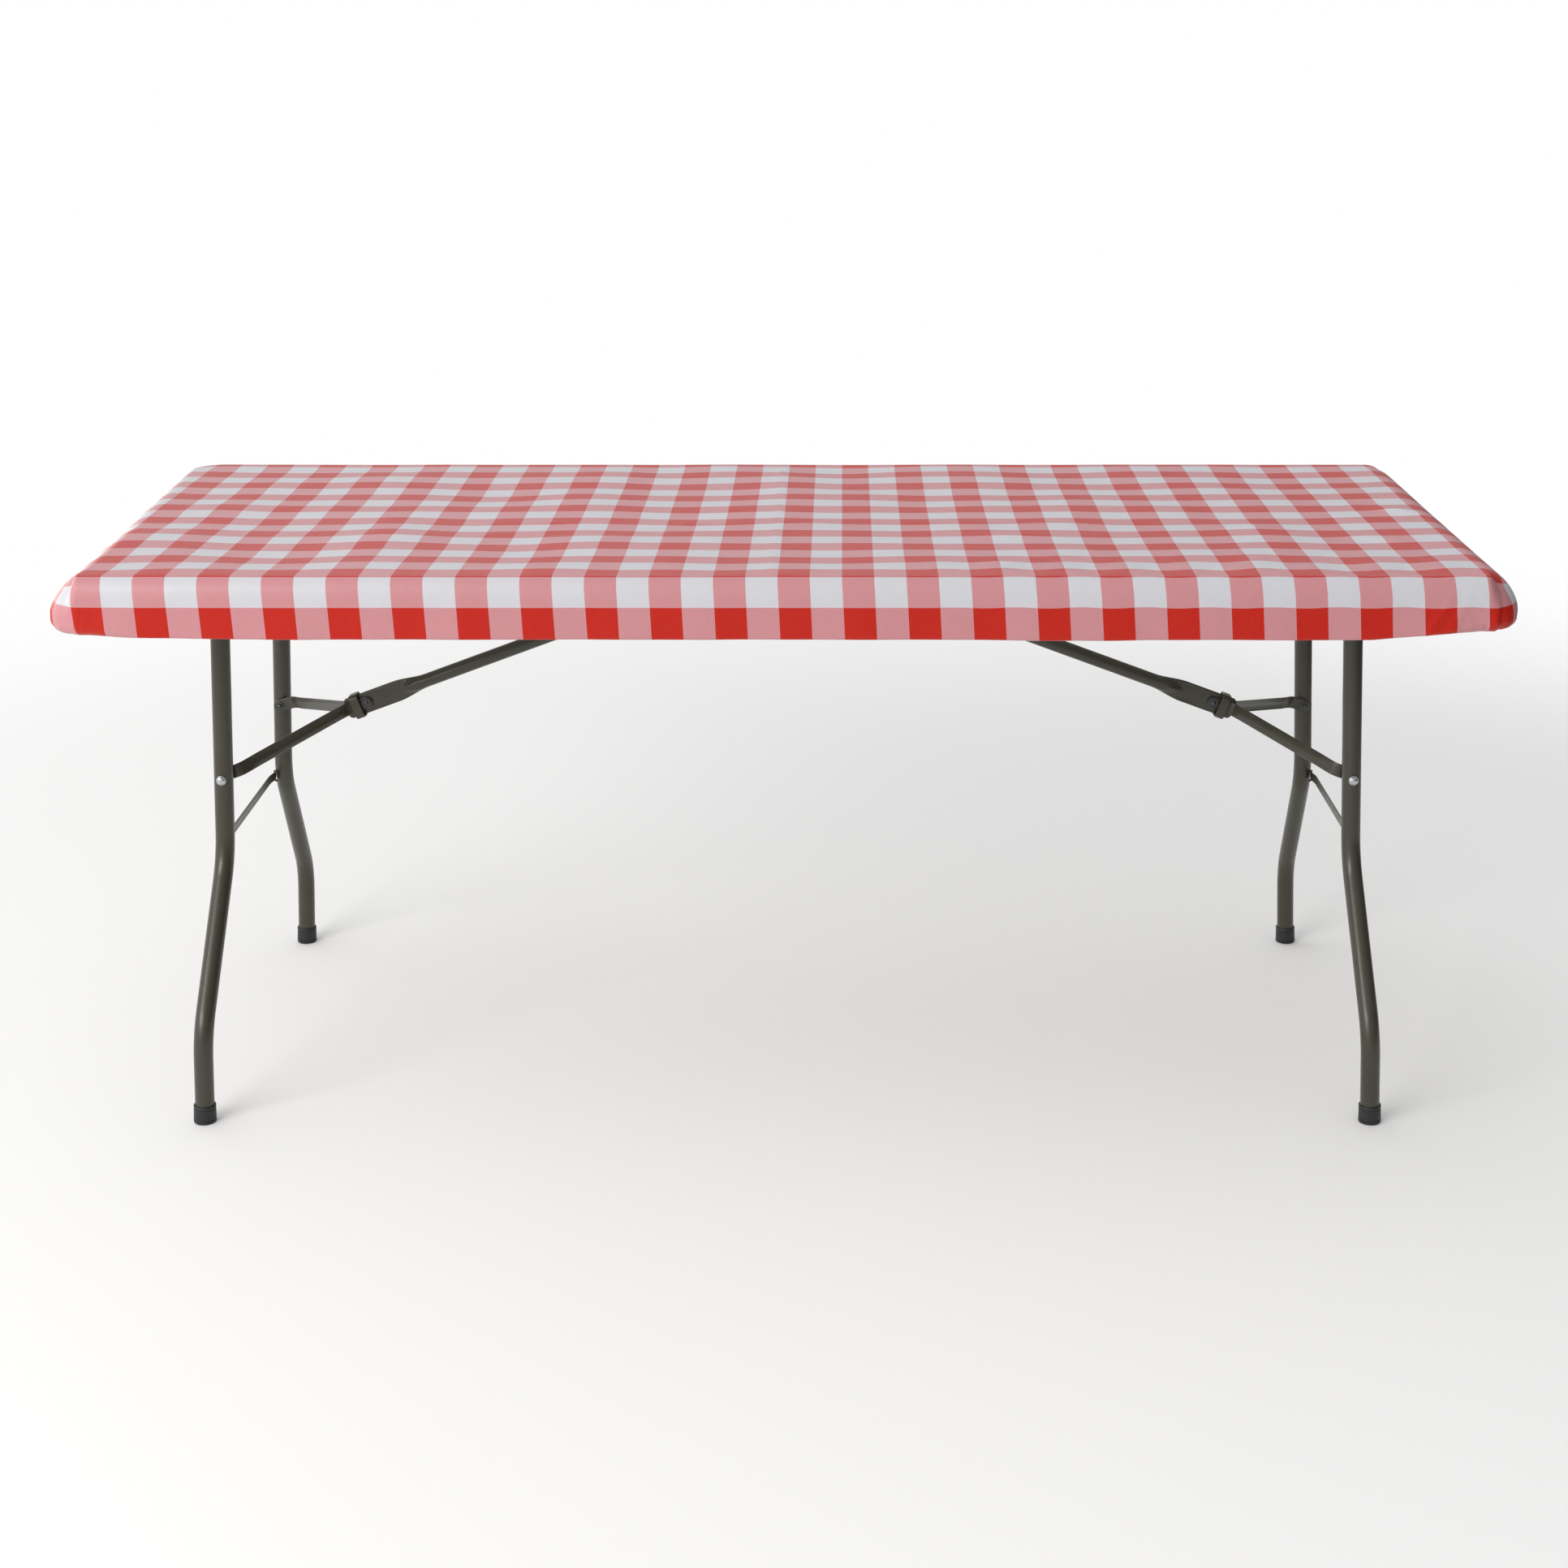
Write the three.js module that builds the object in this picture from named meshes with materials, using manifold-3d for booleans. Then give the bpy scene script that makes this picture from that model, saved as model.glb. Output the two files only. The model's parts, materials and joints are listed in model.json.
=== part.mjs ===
// Fitted tablecloth on a 6 ft folding banquet table with wishbone legs.
//
// Frame: millimetres, +Z up, origin on the floor under the middle of the top. +X runs along the
// length and +Y across the width, away from the long side called the front.
//
// The left leg frame is described once, at -X. The right one is the same parts turned half a
// turn about Z, so its front and back pieces swap places but keep their names.
import * as THREE from "three";
import { mergeVertices } from "three/addons/utils/BufferGeometryUtils.js";
import Module from "manifold-3d";

const wasm = await Module();
wasm.setup();

// ---- Driving dimensions (mm, degrees) ----

// Cloth
const CLOTH_LENGTH = 1829;
const CLOTH_WIDTH = 756;
const CLOTH_TOP_HEIGHT = 760; // floor to the top of the cloth
const CLOTH_TOP_THICKNESS = 4; // vinyl, its flannel back and the slack over the middle
const CLOTH_SKIRT_THICKNESS = 3;
const SKIRT_DEPTH = 77;
const CLOTH_CORNER_RADIUS = 50; // in plan
const CLOTH_EDGE_RADIUS = 16; // where the top turns down into the skirt
const ELASTIC_HEIGHT = 8;
const ELASTIC_THICKNESS = 3;
const ELASTIC_RISE = 2; // from the bottom of the skirt

// Table top: a moulded tray, deck above and rim all round
const DECK_THICKNESS = 17;
const RIM_DEPTH = 55;
const RIM_WALL = 15;
const RAIL_INSET = 18; // from the inside of the rim to the rail's web
const RAIL_HEIGHT = 32;
const RAIL_FLANGE = 18;
const RAIL_SHEET = 2.5;
const RAIL_OVERHANG = 45; // beyond each leg pivot
const CROSSMEMBER_WIDTH = 28;
const CROSSMEMBER_HEIGHT = 18;
const CROSSMEMBER_SHEET = 2;

// Leg frames
const LEG_PIVOT_INSET = 171.5; // from the end of the cloth
const LEG_PIVOT_DROP = 42; // below the top of the cloth
const LEG_SPLAY = 2.9; // each frame leans out by this much
const FOLDED_TILT = 1; // a folded frame hangs this far off level, its feet lower
const LEG_TUBE_DIAMETER = 25.4;
const LEG_TUBE_WALL = 1.6;
const LEG_SPACING_TOP = 351.5; // between the tubes of a frame, centre to centre
const LEG_SPACING_FEET = 635;
const UPPER_BEND_DROP = 393; // pivot to the bend, along the tube
const LOWER_BEND_DROP = 594;
const LEG_BEND_RADIUS = 90;
const LEG_AXLE_DIAMETER = 16;
const LEG_AXLE_WALL = 1.5;
const LEG_AXLE_END = 5; // how far it stands out of each rail
const CROSSBAR_DROP = 393;
const CROSSBAR_HEIGHT = 12;
const CROSSBAR_THICKNESS = 4;
const CAP_WALL = 1.8;
const CAP_HEIGHT = 25;
const CAP_FLOOR = 5;
const GROUND_BLOCK = 400; // cuts the caps level; any size beyond a cap will do

// Folding braces
const BRACE_PIVOT_OFFSET = 30; // from the middle of the table
const BRACE_PIVOT_DROP = 58; // below the top of the cloth
const BRACE_RIVET_DROP = 281; // leg pivot to the rivet that joins the brace to the leg
const BRACE_TUBE_DIAMETER = 19;
const BRACE_TUBE_TAIL = 12; // beyond its pivot
const FLAT_HEIGHT = 30; // the flattened end of the tube
const FLAT_THICKNESS = 5;
const FLAT_LENGTH = 50; // from the knee towards the tube
const FLAT_TAIL = 33; // from the knee towards the leg
const FLAT_TRANSITION = 30;
const FLAT_STEPS = 5; // rings along the transition
const KNEE_DROP = 5; // the knee locks this far past straight
const ARM_THICKNESS = 3;
const ARM_HEIGHT = 18;
const ARM_KNEE_TAB = 27;
const ARM_LEG_TAB = 20;
const ARM_BEND_RADIUS = 14;
const ARM_LEG_GAP = 1; // room between the arm and the leg tube
const RING_LENGTH = 12.5;
const RING_WALL = 2;
const RING_CORNER = 4; // inside radius of its corners
const RING_OFFSET = 14; // from the knee towards the leg, when locked

// Fasteners and brackets
const BRACKET_SHEET = 3;
const BRACKET_LENGTH = 40;
const BRACKET_TAIL = 10; // below the brace pivot
const BRACKET_SIDE_ROOM = 2; // between each cheek and the clearance round the tube
const BRACE_PIN_DIAMETER = 8;
const BRACE_PIN_END = 2; // beyond each cheek of the bracket
const RIVET_SHANK_DIAMETER = 7;
const KNEE_HEAD_DIAMETER = 15;
const KNEE_HEAD_THICKNESS = 1.5;
const KNEE_CROWN = 3; // the peened end, above the arm
const RIVET_HEAD_DIAMETER = 13;
const RIVET_HEAD_HEIGHT = 4;
const STRAP_WIDTH = 25;
const STRAP_SHEET = 3;
const STRAP_FLANGE = 20;
const STRAP_SPACING = 220; // between the two straps of one axle
const SCREW_DIAMETER = 4.4;
const SCREW_HEAD_DIAMETER = 9;
const SCREW_HEAD_HEIGHT = 3;
const SCREW_DEPTH = 10; // into the deck
const RAIL_SCREW_PITCH = 620;

// Clearances
const TOUCH_GAP = 0.3; // between pieces that touch
const CLOTH_SLIP = 0.4; // between the cloth and the table top
const PIVOT_CLEARANCE = 0.5; // round an axle or pin, on the radius
const SCREW_CLEARANCE = 0.3;
const RING_CLEARANCE = 0.5; // round the brace, on each side

const ROUND_SIDES = 16;
const SMALL_SIDES = 12;
const SCREW_SIDES = 8;
const LEG_STEPS = 28;
const ARM_STEPS = 30;

const RAIL_SCREWS = ["left", "middle", "right"];
const DIRECTIONS = { front: -1, back: 1 };

// ---- Places worked out from the dimensions ----

const radians = THREE.MathUtils.degToRad;
const clothBottom = CLOTH_TOP_HEIGHT - SKIRT_DEPTH;
const topHalfLength = CLOTH_LENGTH / 2 - CLOTH_SKIRT_THICKNESS - CLOTH_SLIP;
const topHalfWidth = CLOTH_WIDTH / 2 - CLOTH_SKIRT_THICKNESS - CLOTH_SLIP;
const topSurface = CLOTH_TOP_HEIGHT - CLOTH_TOP_THICKNESS - CLOTH_SLIP;
const deckUnderside = topSurface - DECK_THICKNESS;
const rimBottom = topSurface - RIM_DEPTH;
const hangingFrom = deckUnderside - TOUCH_GAP; // top face of what is screwed to the deck
const topCornerRadius = CLOTH_CORNER_RADIUS - CLOTH_SKIRT_THICKNESS - CLOTH_SLIP;
const topEdgeRadius = CLOTH_EDGE_RADIUS - CLOTH_SKIRT_THICKNESS - CLOTH_SLIP;
const railWeb = topHalfWidth - RIM_WALL - RAIL_INSET - RAIL_SHEET; // inner face, from the middle
const legPivot = new THREE.Vector3(LEG_PIVOT_INSET - CLOTH_LENGTH / 2, 0, CLOTH_TOP_HEIGHT - LEG_PIVOT_DROP);
const legRadius = LEG_TUBE_DIAMETER / 2;
const axleRadius = LEG_AXLE_DIAMETER / 2;
const legLength = legPivot.z / Math.cos(radians(LEG_SPLAY)); // pivot to floor, along the tube
const bracePivot = new THREE.Vector3(-BRACE_PIVOT_OFFSET, 0, CLOTH_TOP_HEIGHT - BRACE_PIVOT_DROP);
const boltedLeg = legPointAt(BRACE_RIVET_DROP, radians(LEG_SPLAY));
const foldedRivet = legPointAt(BRACE_RIVET_DROP, radians(FOLDED_TILT - 90));
const openSpan = bracePivot.distanceTo(boltedLeg);
const foldedSpan = bracePivot.distanceTo(foldedRivet);
const upperBraceLength = (openSpan + foldedSpan) / 2;
const straightArm = (openSpan - foldedSpan) / 2;
const knee = kneePoint();
const armLength = knee.distanceTo(boltedLeg);
const upperBraceSlope = Math.atan2(bracePivot.z - knee.z, bracePivot.x - knee.x);
const armSlope = Math.atan2(knee.z - boltedLeg.z, knee.x - boltedLeg.x);
const braceRadius = BRACE_TUBE_DIAMETER / 2;
const bracketHalfWidth = braceRadius + PIVOT_CLEARANCE + BRACKET_SHEET + BRACKET_SIDE_ROOM;
const kneeArmOffset = FLAT_THICKNESS / 2 + TOUCH_GAP + ARM_THICKNESS / 2;
const strapScrewReach = axleRadius + PIVOT_CLEARANCE + STRAP_SHEET + STRAP_FLANGE / 2;
const legArmOffset = LEG_SPACING_TOP / 2 - legRadius - ARM_LEG_GAP - ARM_THICKNESS / 2;

// Every screw into the deck: its name, x, y, and the thickness of what it holds.
const screwPlaces = [...railScrewPlaces(), ...strapScrewPlaces()];

// The point this far down the left leg frame when the frame leans out by the given angle.
function legPointAt(distance, lean) {
  return new THREE.Vector3(
    legPivot.x - distance * Math.sin(lean),
    0,
    legPivot.z - distance * Math.cos(lean),
  );
}

// The knee of the open brace, just past the straight line from the brace pivot to the leg.
function kneePoint() {
  const along = new THREE.Vector3().subVectors(bracePivot, boltedLeg).normalize();
  const dropping = new THREE.Vector3(along.z, 0, -along.x);
  return boltedLeg.clone().addScaledVector(along, straightArm).addScaledVector(dropping, KNEE_DROP);
}

function railScrewPlaces() {
  const y = railWeb + (RAIL_FLANGE + RAIL_SHEET) / 2;
  return Object.entries(DIRECTIONS).flatMap(([row, direction]) => RAIL_SCREWS.map((column, index) => ({
    name: `rail_screw_${row}_${column}`,
    x: (index - 1) * RAIL_SCREW_PITCH,
    y: direction * y,
    held: RAIL_SHEET,
  })));
}

function strapScrewPlaces() {
  return ["left", "right"].flatMap((end) => Object.entries(DIRECTIONS).flatMap(([row, direction]) => (
    [-1, 1].map((side) => ({
      name: `${end}_strap_screw_${row}_${side * (end === "left" ? 1 : -1) < 0 ? "outer" : "inner"}`,
      x: (end === "left" ? 1 : -1) * legPivot.x + side * strapScrewReach,
      y: (direction * STRAP_SPACING) / 2,
      held: STRAP_SHEET,
    }))
  )));
}

// ---- Materials ----

const finishes = {
  vinyl: new THREE.MeshStandardMaterial({ color: 0xc94a41, roughness: 0.35, metalness: 0 }),
  elastic: new THREE.MeshStandardMaterial({ color: 0xe9e6e0, roughness: 0.9, metalness: 0 }),
  plastic: new THREE.MeshStandardMaterial({ color: 0xd9d8d2, roughness: 0.6, metalness: 0 }),
  powderCoat: new THREE.MeshStandardMaterial({ color: 0x4b483e, roughness: 0.45, metalness: 0.2 }),
  zinc: new THREE.MeshStandardMaterial({ color: 0xb9bcc0, roughness: 0.3, metalness: 1 }),
  rubber: new THREE.MeshStandardMaterial({ color: 0x17171a, roughness: 0.8, metalness: 0 }),
};

// ---- Solids ----

function solidOf(geometry) {
  const bare = geometry.index ? geometry.toNonIndexed() : geometry.clone();
  bare.deleteAttribute("normal");
  bare.deleteAttribute("uv");
  const merged = mergeVertices(bare, 1e-3);
  const vertProperties = new Float32Array(merged.attributes.position.array);
  const triVerts = new Uint32Array(merged.index.array);
  return new wasm.Manifold(new wasm.Mesh({ numProp: 3, vertProperties, triVerts }));
}

function geometryOf(solid) {
  const mesh = solid.getMesh();
  const geometry = new THREE.BufferGeometry();
  geometry.setAttribute("position", new THREE.BufferAttribute(new Float32Array(mesh.vertProperties), 3));
  geometry.setIndex(new THREE.BufferAttribute(new Uint32Array(mesh.triVerts), 1));
  const flat = geometry.toNonIndexed();
  flat.computeVertexNormals();
  return flat;
}

function cut(geometry, ...tools) {
  return geometryOf(tools.reduce((solid, tool) => solid.subtract(solidOf(tool)), solidOf(geometry)));
}

function cylinderAlongY(radius, length, sides = SMALL_SIDES) {
  return new THREE.CylinderGeometry(radius, radius, length, sides);
}

function cylinderAlongZ(radius, length, sides = SMALL_SIDES) {
  return cylinderAlongY(radius, length, sides).rotateX(Math.PI / 2);
}

function roundedRectangle(halfLength, halfWidth, radius) {
  const shape = new THREE.Shape();
  shape.moveTo(halfLength, radius - halfWidth);
  shape.absarc(halfLength - radius, halfWidth - radius, radius, 0, Math.PI / 2);
  shape.absarc(radius - halfLength, halfWidth - radius, radius, Math.PI / 2, Math.PI);
  shape.absarc(radius - halfLength, radius - halfWidth, radius, Math.PI, 1.5 * Math.PI);
  shape.absarc(halfLength - radius, radius - halfWidth, radius, 1.5 * Math.PI, 2 * Math.PI);
  return shape;
}

// A rounded rectangle in plan, from bottom to top, with its upper edge rounded over.
function roundedSlab(halfLength, halfWidth, bottom, top, cornerRadius, edgeRadius) {
  const outline = roundedRectangle(halfLength - edgeRadius, halfWidth - edgeRadius, cornerRadius - edgeRadius);
  const slab = new THREE.ExtrudeGeometry(outline, {
    depth: top - bottom,
    bevelSize: edgeRadius,
    bevelThickness: edgeRadius,
    bevelSegments: 3,
    curveSegments: 5,
  });
  slab.translate(0, 0, bottom - edgeRadius);
  const below = new THREE.BoxGeometry(3 * halfLength, 3 * halfWidth, 4 * edgeRadius);
  below.translate(0, 0, bottom - 2 * edgeRadius);
  return cut(slab, below);
}

// A prism: the outline lies in the XZ plane and runs from y0 to y1.
function prismAlongY(shape, y0, y1) {
  const prism = new THREE.ExtrudeGeometry(shape, { depth: y1 - y0, bevelEnabled: false, curveSegments: 8 });
  return prism.rotateX(Math.PI / 2).translate(0, y1, 0);
}

// A prism: the outline's x and y lie along Y and Z, and it runs from x0 to x1.
function prismAlongX(shape, x0, x1) {
  const prism = new THREE.ExtrudeGeometry(shape, { depth: x1 - x0, bevelEnabled: false, curveSegments: 8 });
  return prism.rotateX(Math.PI / 2).rotateZ(Math.PI / 2).translate(x0, 0, 0);
}

function polygon(points) {
  return new THREE.Shape(points.map(([x, y]) => new THREE.Vector2(x, y)));
}

function circleShape(radius) {
  return new THREE.Shape().absarc(0, 0, radius, 0, 2 * Math.PI);
}

// Straight runs joined by smooth bends of about the given radius.
function bentPath(points, bendRadius) {
  const path = new THREE.CurvePath();
  let from = points[0];
  points.slice(1, -1).forEach((corner, i) => {
    const into = corner.clone().sub(points[i]).normalize();
    const out = points[i + 2].clone().sub(corner).normalize();
    const tangent = bendRadius * Math.tan(into.angleTo(out) / 2);
    const start = corner.clone().addScaledVector(into, -tangent);
    const end = corner.clone().addScaledVector(out, tangent);
    path.add(new THREE.LineCurve3(from, start));
    path.add(new THREE.QuadraticBezierCurve3(start, corner, end));
    from = end;
  });
  path.add(new THREE.LineCurve3(from, points[points.length - 1]));
  return path;
}

function tubeAlong(path, outerRadius, innerRadius, steps) {
  const section = circleShape(outerRadius);
  section.holes.push(new THREE.Path().absarc(0, 0, innerRadius, 0, 2 * Math.PI, true));
  return new THREE.ExtrudeGeometry(section, { steps, extrudePath: path, curveSegments: SMALL_SIDES / 2 });
}

// A closed skin through rings of points that all have the same count, with flat ends.
function loft(rings) {
  const sides = rings[0].length;
  const points = rings.flat();
  const faces = [];
  for (let ring = 0; ring + 1 < rings.length; ring += 1) {
    for (let side = 0; side < sides; side += 1) {
      const a = ring * sides + side;
      const b = ring * sides + ((side + 1) % sides);
      faces.push(a, b, a + sides, b, b + sides, a + sides);
    }
  }
  const last = (rings.length - 1) * sides;
  for (let side = 1; side + 1 < sides; side += 1) {
    faces.push(0, side + 1, side, last, last + side, last + side + 1);
  }
  const skin = new THREE.BufferGeometry().setFromPoints(points);
  skin.setIndex(faces);
  return skin;
}

// A rivet head and shank along +Y: the shank ends at y = 0 and the domed head is beyond it.
function rivet(headRadius, headHeight, shankRadius, shankLength, sides = SMALL_SIDES) {
  const profile = [[0, 0], [shankRadius, 0], [shankRadius, shankLength], [headRadius, shankLength]];
  const domeSteps = sides / 4;
  for (let step = 1; step <= domeSteps; step += 1) {
    const turn = (step / domeSteps) * (Math.PI / 2);
    profile.push([headRadius * Math.cos(turn), shankLength + headHeight * Math.sin(turn)]);
  }
  profile[profile.length - 1][0] = 0;
  return new THREE.LatheGeometry(profile.map(([x, y]) => new THREE.Vector2(x, y)), sides);
}

function add(parent, name, geometry, finish) {
  const mesh = new THREE.Mesh(geometry, finish.clone());
  mesh.name = name;
  parent.add(mesh);
  return mesh;
}

// ---- Cloth ----

function tablecloth() {
  const outer = roundedSlab(
    CLOTH_LENGTH / 2, CLOTH_WIDTH / 2, clothBottom, CLOTH_TOP_HEIGHT, CLOTH_CORNER_RADIUS, CLOTH_EDGE_RADIUS,
  );
  const inner = roundedSlab(
    topHalfLength + CLOTH_SLIP, topHalfWidth + CLOTH_SLIP, clothBottom - 1, topSurface + CLOTH_SLIP,
    topCornerRadius + CLOTH_SLIP, topEdgeRadius + CLOTH_SLIP,
  );
  return cut(outer, inner);
}

function elasticHem() {
  const inset = CLOTH_SKIRT_THICKNESS + TOUCH_GAP;
  const outline = (extra) => roundedRectangle(
    CLOTH_LENGTH / 2 - inset - extra, CLOTH_WIDTH / 2 - inset - extra, CLOTH_CORNER_RADIUS - inset - extra,
  );
  const band = outline(0);
  band.holes.push(new THREE.Path(outline(ELASTIC_THICKNESS).getPoints(5).reverse()));
  const geometry = new THREE.ExtrudeGeometry(band, {
    depth: ELASTIC_HEIGHT, bevelEnabled: false, curveSegments: 5,
  });
  return geometry.translate(0, 0, clothBottom + ELASTIC_RISE);
}

// ---- Table top ----

function tabletopPanel() {
  const block = roundedSlab(topHalfLength, topHalfWidth, rimBottom, topSurface, topCornerRadius, topEdgeRadius);
  const recess = new THREE.ExtrudeGeometry(
    roundedRectangle(topHalfLength - RIM_WALL, topHalfWidth - RIM_WALL, topCornerRadius - RIM_WALL),
    { depth: deckUnderside - rimBottom + 1, bevelEnabled: false, curveSegments: 5 },
  );
  recess.translate(0, 0, rimBottom - 1);
  const holeDepth = SCREW_DEPTH + 1;
  const holes = screwPlaces.map(({ x, y }) => (
    cylinderAlongZ(SCREW_DIAMETER / 2 + SCREW_CLEARANCE, 2 * holeDepth, 8).translate(x, y, deckUnderside)
  ));
  return cut(block, recess, ...holes);
}

function sideRail(direction) {
  const web = direction * railWeb;
  const outward = direction * RAIL_SHEET;
  const top = hangingFrom;
  const section = polygon([
    [web, top],
    [web, top - RAIL_HEIGHT],
    [web + outward, top - RAIL_HEIGHT],
    [web + outward, top - RAIL_SHEET],
    [web + direction * RAIL_FLANGE, top - RAIL_SHEET],
    [web + direction * RAIL_FLANGE, top],
  ]);
  const halfLength = Math.abs(legPivot.x) + RAIL_OVERHANG;
  const rail = prismAlongX(section, -halfLength, halfLength);
  const pivotHoles = [-1, 1].map((end) => (
    cylinderAlongY(axleRadius + PIVOT_CLEARANCE, 4 * RAIL_SHEET, ROUND_SIDES)
      .translate(end * legPivot.x, web, legPivot.z)
  ));
  const screwHoles = screwPlaces
    .filter(({ y }) => y * direction > railWeb)
    .map(({ x, y }) => cylinderAlongZ(SCREW_DIAMETER / 2 + SCREW_CLEARANCE, 4 * RAIL_SHEET, 8).translate(x, y, top));
  return cut(rail, ...pivotHoles, ...screwHoles);
}

function centreCrossmember() {
  const half = CROSSMEMBER_WIDTH / 2;
  const sheet = CROSSMEMBER_SHEET;
  const top = hangingFrom;
  const bottom = top - CROSSMEMBER_HEIGHT;
  const channel = polygon([
    [-half, top], [-half, bottom], [half, bottom], [half, top],
    [half - sheet, top], [half - sheet, bottom + sheet], [sheet - half, bottom + sheet], [sheet - half, top],
  ]);
  const reach = railWeb - TOUCH_GAP;
  return prismAlongY(channel, -reach, reach);
}

// The saddle that holds a leg frame's axle up to the deck.
function axleStrap(y) {
  const inner = axleRadius + PIVOT_CLEARANCE;
  const outer = inner + STRAP_SHEET;
  const flangeTop = hangingFrom - legPivot.z;
  const flangeBottom = flangeTop - STRAP_SHEET;
  const shape = new THREE.Shape();
  shape.moveTo(-outer - STRAP_FLANGE, flangeTop);
  shape.lineTo(-outer - STRAP_FLANGE, flangeBottom);
  shape.lineTo(-outer, flangeBottom);
  shape.absarc(0, 0, outer, Math.PI, 2 * Math.PI);
  shape.lineTo(outer, flangeBottom);
  shape.lineTo(outer + STRAP_FLANGE, flangeBottom);
  shape.lineTo(outer + STRAP_FLANGE, flangeTop);
  shape.lineTo(inner, flangeTop);
  shape.absarc(0, 0, inner, 2 * Math.PI, Math.PI, true);
  shape.lineTo(-inner, flangeTop);
  const strap = prismAlongY(shape, y - STRAP_WIDTH / 2, y + STRAP_WIDTH / 2);
  const holes = [-1, 1].map((side) => (
    cylinderAlongZ(SCREW_DIAMETER / 2 + SCREW_CLEARANCE, 4 * STRAP_SHEET, 8)
      .translate(side * strapScrewReach, y, flangeTop)
  ));
  return cut(strap, ...holes);
}

function deckScrew({ x, y, held }) {
  const headTop = hangingFrom - held - TOUCH_GAP;
  const length = held + TOUCH_GAP * 2 + SCREW_DEPTH;
  return rivet(SCREW_HEAD_DIAMETER / 2, SCREW_HEAD_HEIGHT, SCREW_DIAMETER / 2, length, SCREW_SIDES)
    .rotateX(-Math.PI / 2)
    .translate(x, y, headTop + length);
}

// The clevis under the crossmember that the upper brace swings in.
function braceBracket() {
  const half = bracketHalfWidth;
  const top = hangingFrom - CROSSMEMBER_HEIGHT - TOUCH_GAP;
  const bottom = bracePivot.z - BRACKET_TAIL;
  const clevis = polygon([
    [-half, bottom], [BRACKET_SHEET - half, bottom], [BRACKET_SHEET - half, top - BRACKET_SHEET],
    [half - BRACKET_SHEET, top - BRACKET_SHEET], [half - BRACKET_SHEET, bottom], [half, bottom],
    [half, top], [-half, top],
  ]);
  const start = bracePivot.x - BRACKET_LENGTH / 2;
  const hole = cylinderAlongY(BRACE_PIN_DIAMETER / 2 + TOUCH_GAP, 4 * half)
    .translate(bracePivot.x, 0, bracePivot.z);
  return cut(prismAlongX(clevis, start, start + BRACKET_LENGTH + BRACKET_SHEET), hole);
}

function bracePin() {
  const half = bracketHalfWidth + BRACE_PIN_END;
  return cylinderAlongY(BRACE_PIN_DIAMETER / 2, 2 * half).translate(bracePivot.x, 0, bracePivot.z);
}

// ---- Leg frame: in its own frame the pivot is the origin and the tubes run down -Z ----

function legTube(direction) {
  const yTop = (direction * LEG_SPACING_TOP) / 2;
  const yFoot = (direction * LEG_SPACING_FEET) / 2;
  const path = bentPath([
    new THREE.Vector3(0, yTop, 0),
    new THREE.Vector3(0, yTop, -UPPER_BEND_DROP),
    new THREE.Vector3(0, yFoot, -LOWER_BEND_DROP),
    new THREE.Vector3(0, yFoot, CAP_FLOOR - legLength),
  ], LEG_BEND_RADIUS);
  const tube = tubeAlong(path, legRadius, legRadius - LEG_TUBE_WALL, LEG_STEPS);
  const saddle = cylinderAlongY(axleRadius + TOUCH_GAP, LEG_TUBE_DIAMETER * 2, ROUND_SIDES)
    .translate(0, yTop, 0);
  return cut(tube, saddle);
}

function legAxle() {
  const reach = railWeb + RAIL_SHEET + LEG_AXLE_END;
  const path = new THREE.LineCurve3(new THREE.Vector3(0, -reach, 0), new THREE.Vector3(0, reach, 0));
  return tubeAlong(path, axleRadius, axleRadius - LEG_AXLE_WALL, 1);
}

// A flat bar across the outer faces of the two tubes, from the middle of one to the middle of the
// other, clear of the brace when all is folded.
function legCrossbar() {
  const outward = legRadius + TOUCH_GAP + CROSSBAR_THICKNESS / 2;
  return new THREE.BoxGeometry(CROSSBAR_THICKNESS, LEG_SPACING_TOP, CROSSBAR_HEIGHT)
    .translate(-outward, 0, -CROSSBAR_DROP);
}

// The rubber foot: a cup on the tube's end, cut level where it stands on the floor.
function footCap(direction) {
  const inner = legRadius + TOUCH_GAP;
  const outer = inner + CAP_WALL;
  const floor = CAP_FLOOR - TOUCH_GAP - legLength;
  const profile = [
    [0, floor - 2 * CAP_FLOOR], [outer, floor - 2 * CAP_FLOOR],
    [outer, CAP_HEIGHT - legLength], [inner, CAP_HEIGHT - legLength], [inner, floor], [0, floor],
  ];
  const cup = new THREE.LatheGeometry(profile.map(([x, y]) => new THREE.Vector2(x, y)), ROUND_SIDES)
    .rotateX(Math.PI / 2)
    .translate(0, (direction * LEG_SPACING_FEET) / 2, 0)
    .rotateY(radians(LEG_SPLAY));
  const ground = new THREE.BoxGeometry(GROUND_BLOCK, 2 * LEG_SPACING_FEET, GROUND_BLOCK)
    .translate(0, 0, -legPivot.z - GROUND_BLOCK / 2);
  return cut(cup, ground);
}

function legRivet(direction) {
  return rivet(RIVET_HEAD_DIAMETER / 2, RIVET_HEAD_HEIGHT, RIVET_HEAD_DIAMETER / 2, 1)
    .rotateX(direction > 0 ? 0 : Math.PI)
    .translate(0, direction * (LEG_SPACING_TOP / 2 + legRadius + TOUCH_GAP), -BRACE_RIVET_DROP);
}

// ---- Upper brace: in its own frame the brace pivot is the origin and the knee is at -X ----

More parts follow.
